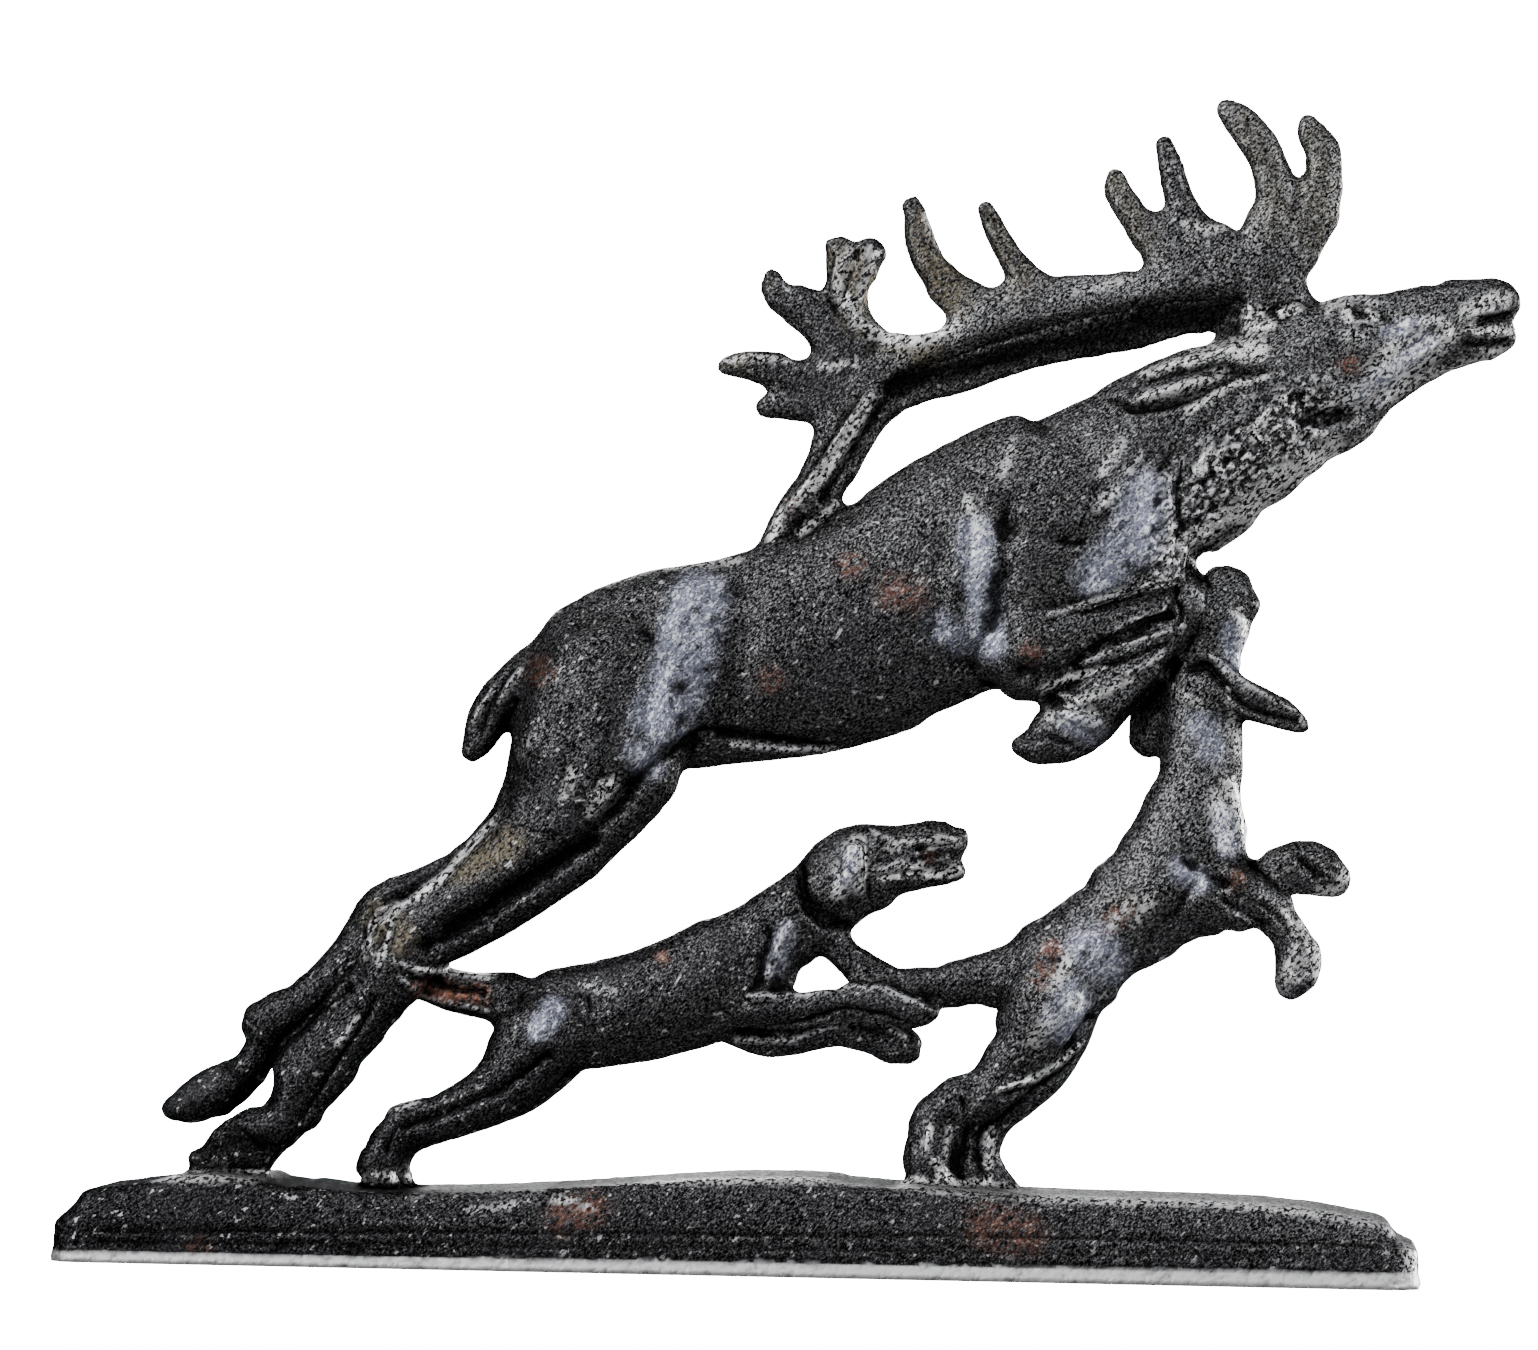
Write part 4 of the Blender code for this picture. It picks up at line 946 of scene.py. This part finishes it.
# Painted highlight on narrow raised strokes and on the tips of the tufts
raised = [(RIDGE_WIDTH * width, RIDGE_SHINE, points)
          for width, deep, points in STROKES if deep < 0.0 and width < NARROW]
tips = mane * facing * rising(fine, TUFT_START, TIP_SPAN)
store("ridge_highlight", np.maximum(cover(raised) * near, tips))
# Painted shade in the pits between the tufts and in the hollows of the skin
pits = PIT_SHARE * mane * rising(-fine, TUFT_START, PIT_SPAN)
painted_shade = np.maximum((-relief - HOLLOW_START) / HOLLOW_SPAN, pits)
store("painted_shade", np.clip(np.maximum(painted_shade, cover(PAINTED_SHADE_STROKES) * near) * facing, 0.0, 1.0))
# Painted shade on the side faces, above the plinth
store("side_shade", rising(side, EDGE_TURN, -EDGE_TURN) * rising(height, EDGE_LEVEL, EDGE_FADE))
# A paler grey band along the foot of the plinth
store("foot", rising(FOOT_TOP + FOOT_RISE * places[:, 0] - height, 0.0, FOOT_FADE))

# %% [markdown]
# ## The black iron
#
# Old blackened iron is nearly black, with a fine grain where bare metal sparkles through, lighter to the
# upper right as painted light. The base colour is mixed in layers over that grain: clouds, painted shade on
# the side faces, bright flecks, painted highlights on the ridges, a painted blue-grey sheen, golden wax on
# the tines, rust, painted shade in the hollows, painted highlights on the rims, and a paler foot. Every
# layer's edge is broken by noise in object coordinates, so the pattern stays on the casting from any side.

# %% Describe the layers of the finish
# The grain runs up to the right, as the file and the wire brush went
GRAIN_LEAN = math.radians(45)
GRAIN_STRETCH = 1.7
# Each noise has a scale, a detail and a roughness
NOISES = {
    "grain": (2000.0, 2.0, 0.85),
    "fleck": (620.0, 2.0, 0.7),
    "blotch": (70.0, 4.0, 0.6),
    "crumble": (420.0, 3.0, 0.6),
    "streak": (1000.0, 2.0, 0.7),
    "pit": (1100.0, 2.0, 0.6),
}
BLACK = (0.0005, 0.0005, 0.001, 1.0)
BARE_METAL = (0.42, 0.42, 0.43, 1.0)
SPARKLE = (0.44, 0.68)
SPARKLE_POWER = 1.4
# The black of the painted shade
SHADE_BLACK = grey(0.001)
# Each layer has a colour, the stored number it follows, the noises that break it and a share. A noise
# breaks it between two of its values.
LAYERS = (
    ((0.06, 0.06, 0.065, 1.0), None, (("blotch", 0.5, 0.7),), 0.2),
    # Painted shade on the side faces
    (SHADE_BLACK, "side_shade", (), 0.75),
    ((0.55, 0.55, 0.56, 1.0), None, (("fleck", 0.645, 0.70),), 0.8),
    # Painted highlight on the ridges and the tips of the tufts
    ((0.85, 0.85, 0.87, 1.0), "ridge_highlight", (("streak", 0.45, 0.54),), 1.0),
    # Painted sheen: blue-grey, then blue-white streaks
    ((0.32, 0.335, 0.44, 1.0), "painted_sheen", (("crumble", 0.28, 0.50), ("grain", 0.26, 0.56)), 1.0),
    ((0.80, 0.81, 0.88, 1.0), "painted_sheen", (("crumble", 0.28, 0.50), ("streak", 0.53, 0.60)), 1.0),
    ((0.24, 0.20, 0.12, 1.0), "golden", (("streak", 0.40, 0.58),), 0.45),
    ((0.36, 0.15, 0.10, 1.0), "rust", (("fleck", 0.4, 0.62),), 0.65),
    # Painted shade in the hollows and creases
    (SHADE_BLACK, "painted_shade", (), 0.93),
    # Painted highlights on the rims and streaks
    ((0.95, 0.95, 0.96, 1.0), "painted_highlight", (("streak", 0.45, 0.54),), 1.0),
    # A paler grey foot
    ((0.62, 0.62, 0.63, 1.0), "foot", (("crumble", 0.15, 0.5),), 1.0),
)
GLANCING_TINT = grey(0.3)
SMOOTHEST = 0.34
ROUGHEST = 0.62
# Each bump has a strength and a height
FINE_BUMP = (0.55, 0.25 * MM)
COARSE_BUMP = (0.6, 0.6 * MM)
print(len(LAYERS), "layers")


# %% Make the finish
def blackened_iron():
    """Grainy black iron with painted highlights, sheen and shade, waxed and rusted, by the numbers stored on
    the mesh.
    """
    material, tree, output = new_material("blackened_iron")
    shader = node(tree, "ShaderNodeBsdfPrincipled", Metallic=1.0)
    tree.links.new(shader.outputs[0], output.inputs["Surface"])
    lean = node(tree, "ShaderNodeMapping", vector_type="TEXTURE")
    lean.inputs["Rotation"].default_value = (0.0, GRAIN_LEAN, 0.0)
    lean.inputs["Scale"].default_value = (1.0, 1.0, GRAIN_STRETCH)
    tree.links.new(node(tree, "ShaderNodeTexCoord").outputs["Object"], lean.inputs["Vector"])

    def noise(scale, detail, roughness):
        """A noise in the leaning object coordinates."""
        made = node(tree, "ShaderNodeTexNoise", Scale=scale, Detail=detail, Roughness=roughness)
        tree.links.new(lean.outputs["Vector"], made.inputs["Vector"])
        return made.outputs["Fac"]

    def ramp(value, low, high):
        """From 0 at the low value to 1 at the high one."""
        made = node(tree, "ShaderNodeMapRange")
        made.inputs["From Min"].default_value = low
        made.inputs["From Max"].default_value = high
        tree.links.new(value, made.inputs["Value"])
        return made.outputs["Result"]

    def number(name):
        """A number stored on the mesh."""
        return node(tree, "ShaderNodeAttribute", attribute_name=name).outputs["Fac"]

    def maths(first, second, kind="MULTIPLY"):
        """Two values multiplied, or another operation, held between 0 and 1."""
        made = node(tree, "ShaderNodeMath", operation=kind, use_clamp=True)
        for socket, value in zip(made.inputs, (first, second)):
            if isinstance(value, float):
                socket.default_value = value
            else:
                tree.links.new(value, socket)
        return made.outputs[0]

    def layer(under, colour, amount):
        """A colour laid over another, by the amount."""
        made = node(tree, "ShaderNodeMix", data_type="RGBA")
        tree.links.new(amount, made.inputs[0])
        if isinstance(under, tuple):
            made.inputs[6].default_value = under
        else:
            tree.links.new(under, made.inputs[6])
        made.inputs[7].default_value = colour
        return made.outputs[2]

    def bump(noise_value, strength, rise):
        """A bump that follows a noise."""
        made = node(tree, "ShaderNodeBump", Strength=strength, Distance=rise)
        tree.links.new(noise_value, made.inputs["Height"])
        return made

    noises = {name: noise(*settings) for name, settings in NOISES.items()}
    sparkle = maths(ramp(noises["grain"], *SPARKLE), SPARKLE_POWER, "POWER")
    # The bare-metal grain follows the painted light
    colour = layer(BLACK, BARE_METAL, maths(sparkle, number("painted_light")))
    for tint, follows, breaks, amount in LAYERS:
        if follows:
            amount = maths(number(follows), amount)
        for name, low, high in breaks:
            amount = maths(ramp(noises[name], low, high), amount)
        colour = layer(colour, tint, amount)
    tree.links.new(colour, shader.inputs["Base Color"])
    shader.inputs["Specular Tint"].default_value = GLANCING_TINT

    rough = node(tree, "ShaderNodeMapRange")
    rough.inputs["To Min"].default_value = SMOOTHEST
    rough.inputs["To Max"].default_value = ROUGHEST
    tree.links.new(noises["crumble"], rough.inputs["Value"])
    tree.links.new(rough.outputs["Result"], shader.inputs["Roughness"])

    fine_bump = bump(noises["pit"], *FINE_BUMP)
    coarse_bump = bump(noises["crumble"], *COARSE_BUMP)
    tree.links.new(coarse_bump.outputs[0], fine_bump.inputs["Normal"])
    tree.links.new(fine_bump.outputs[0], shader.inputs["Normal"])
    return material


iron = blackened_iron()
casting.data.materials.append(iron)
print("finish:", len(iron.node_tree.nodes), "nodes")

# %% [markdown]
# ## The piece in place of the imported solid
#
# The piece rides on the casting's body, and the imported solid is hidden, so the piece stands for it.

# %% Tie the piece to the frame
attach(casting, "root")
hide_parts("deer_and_hounds")
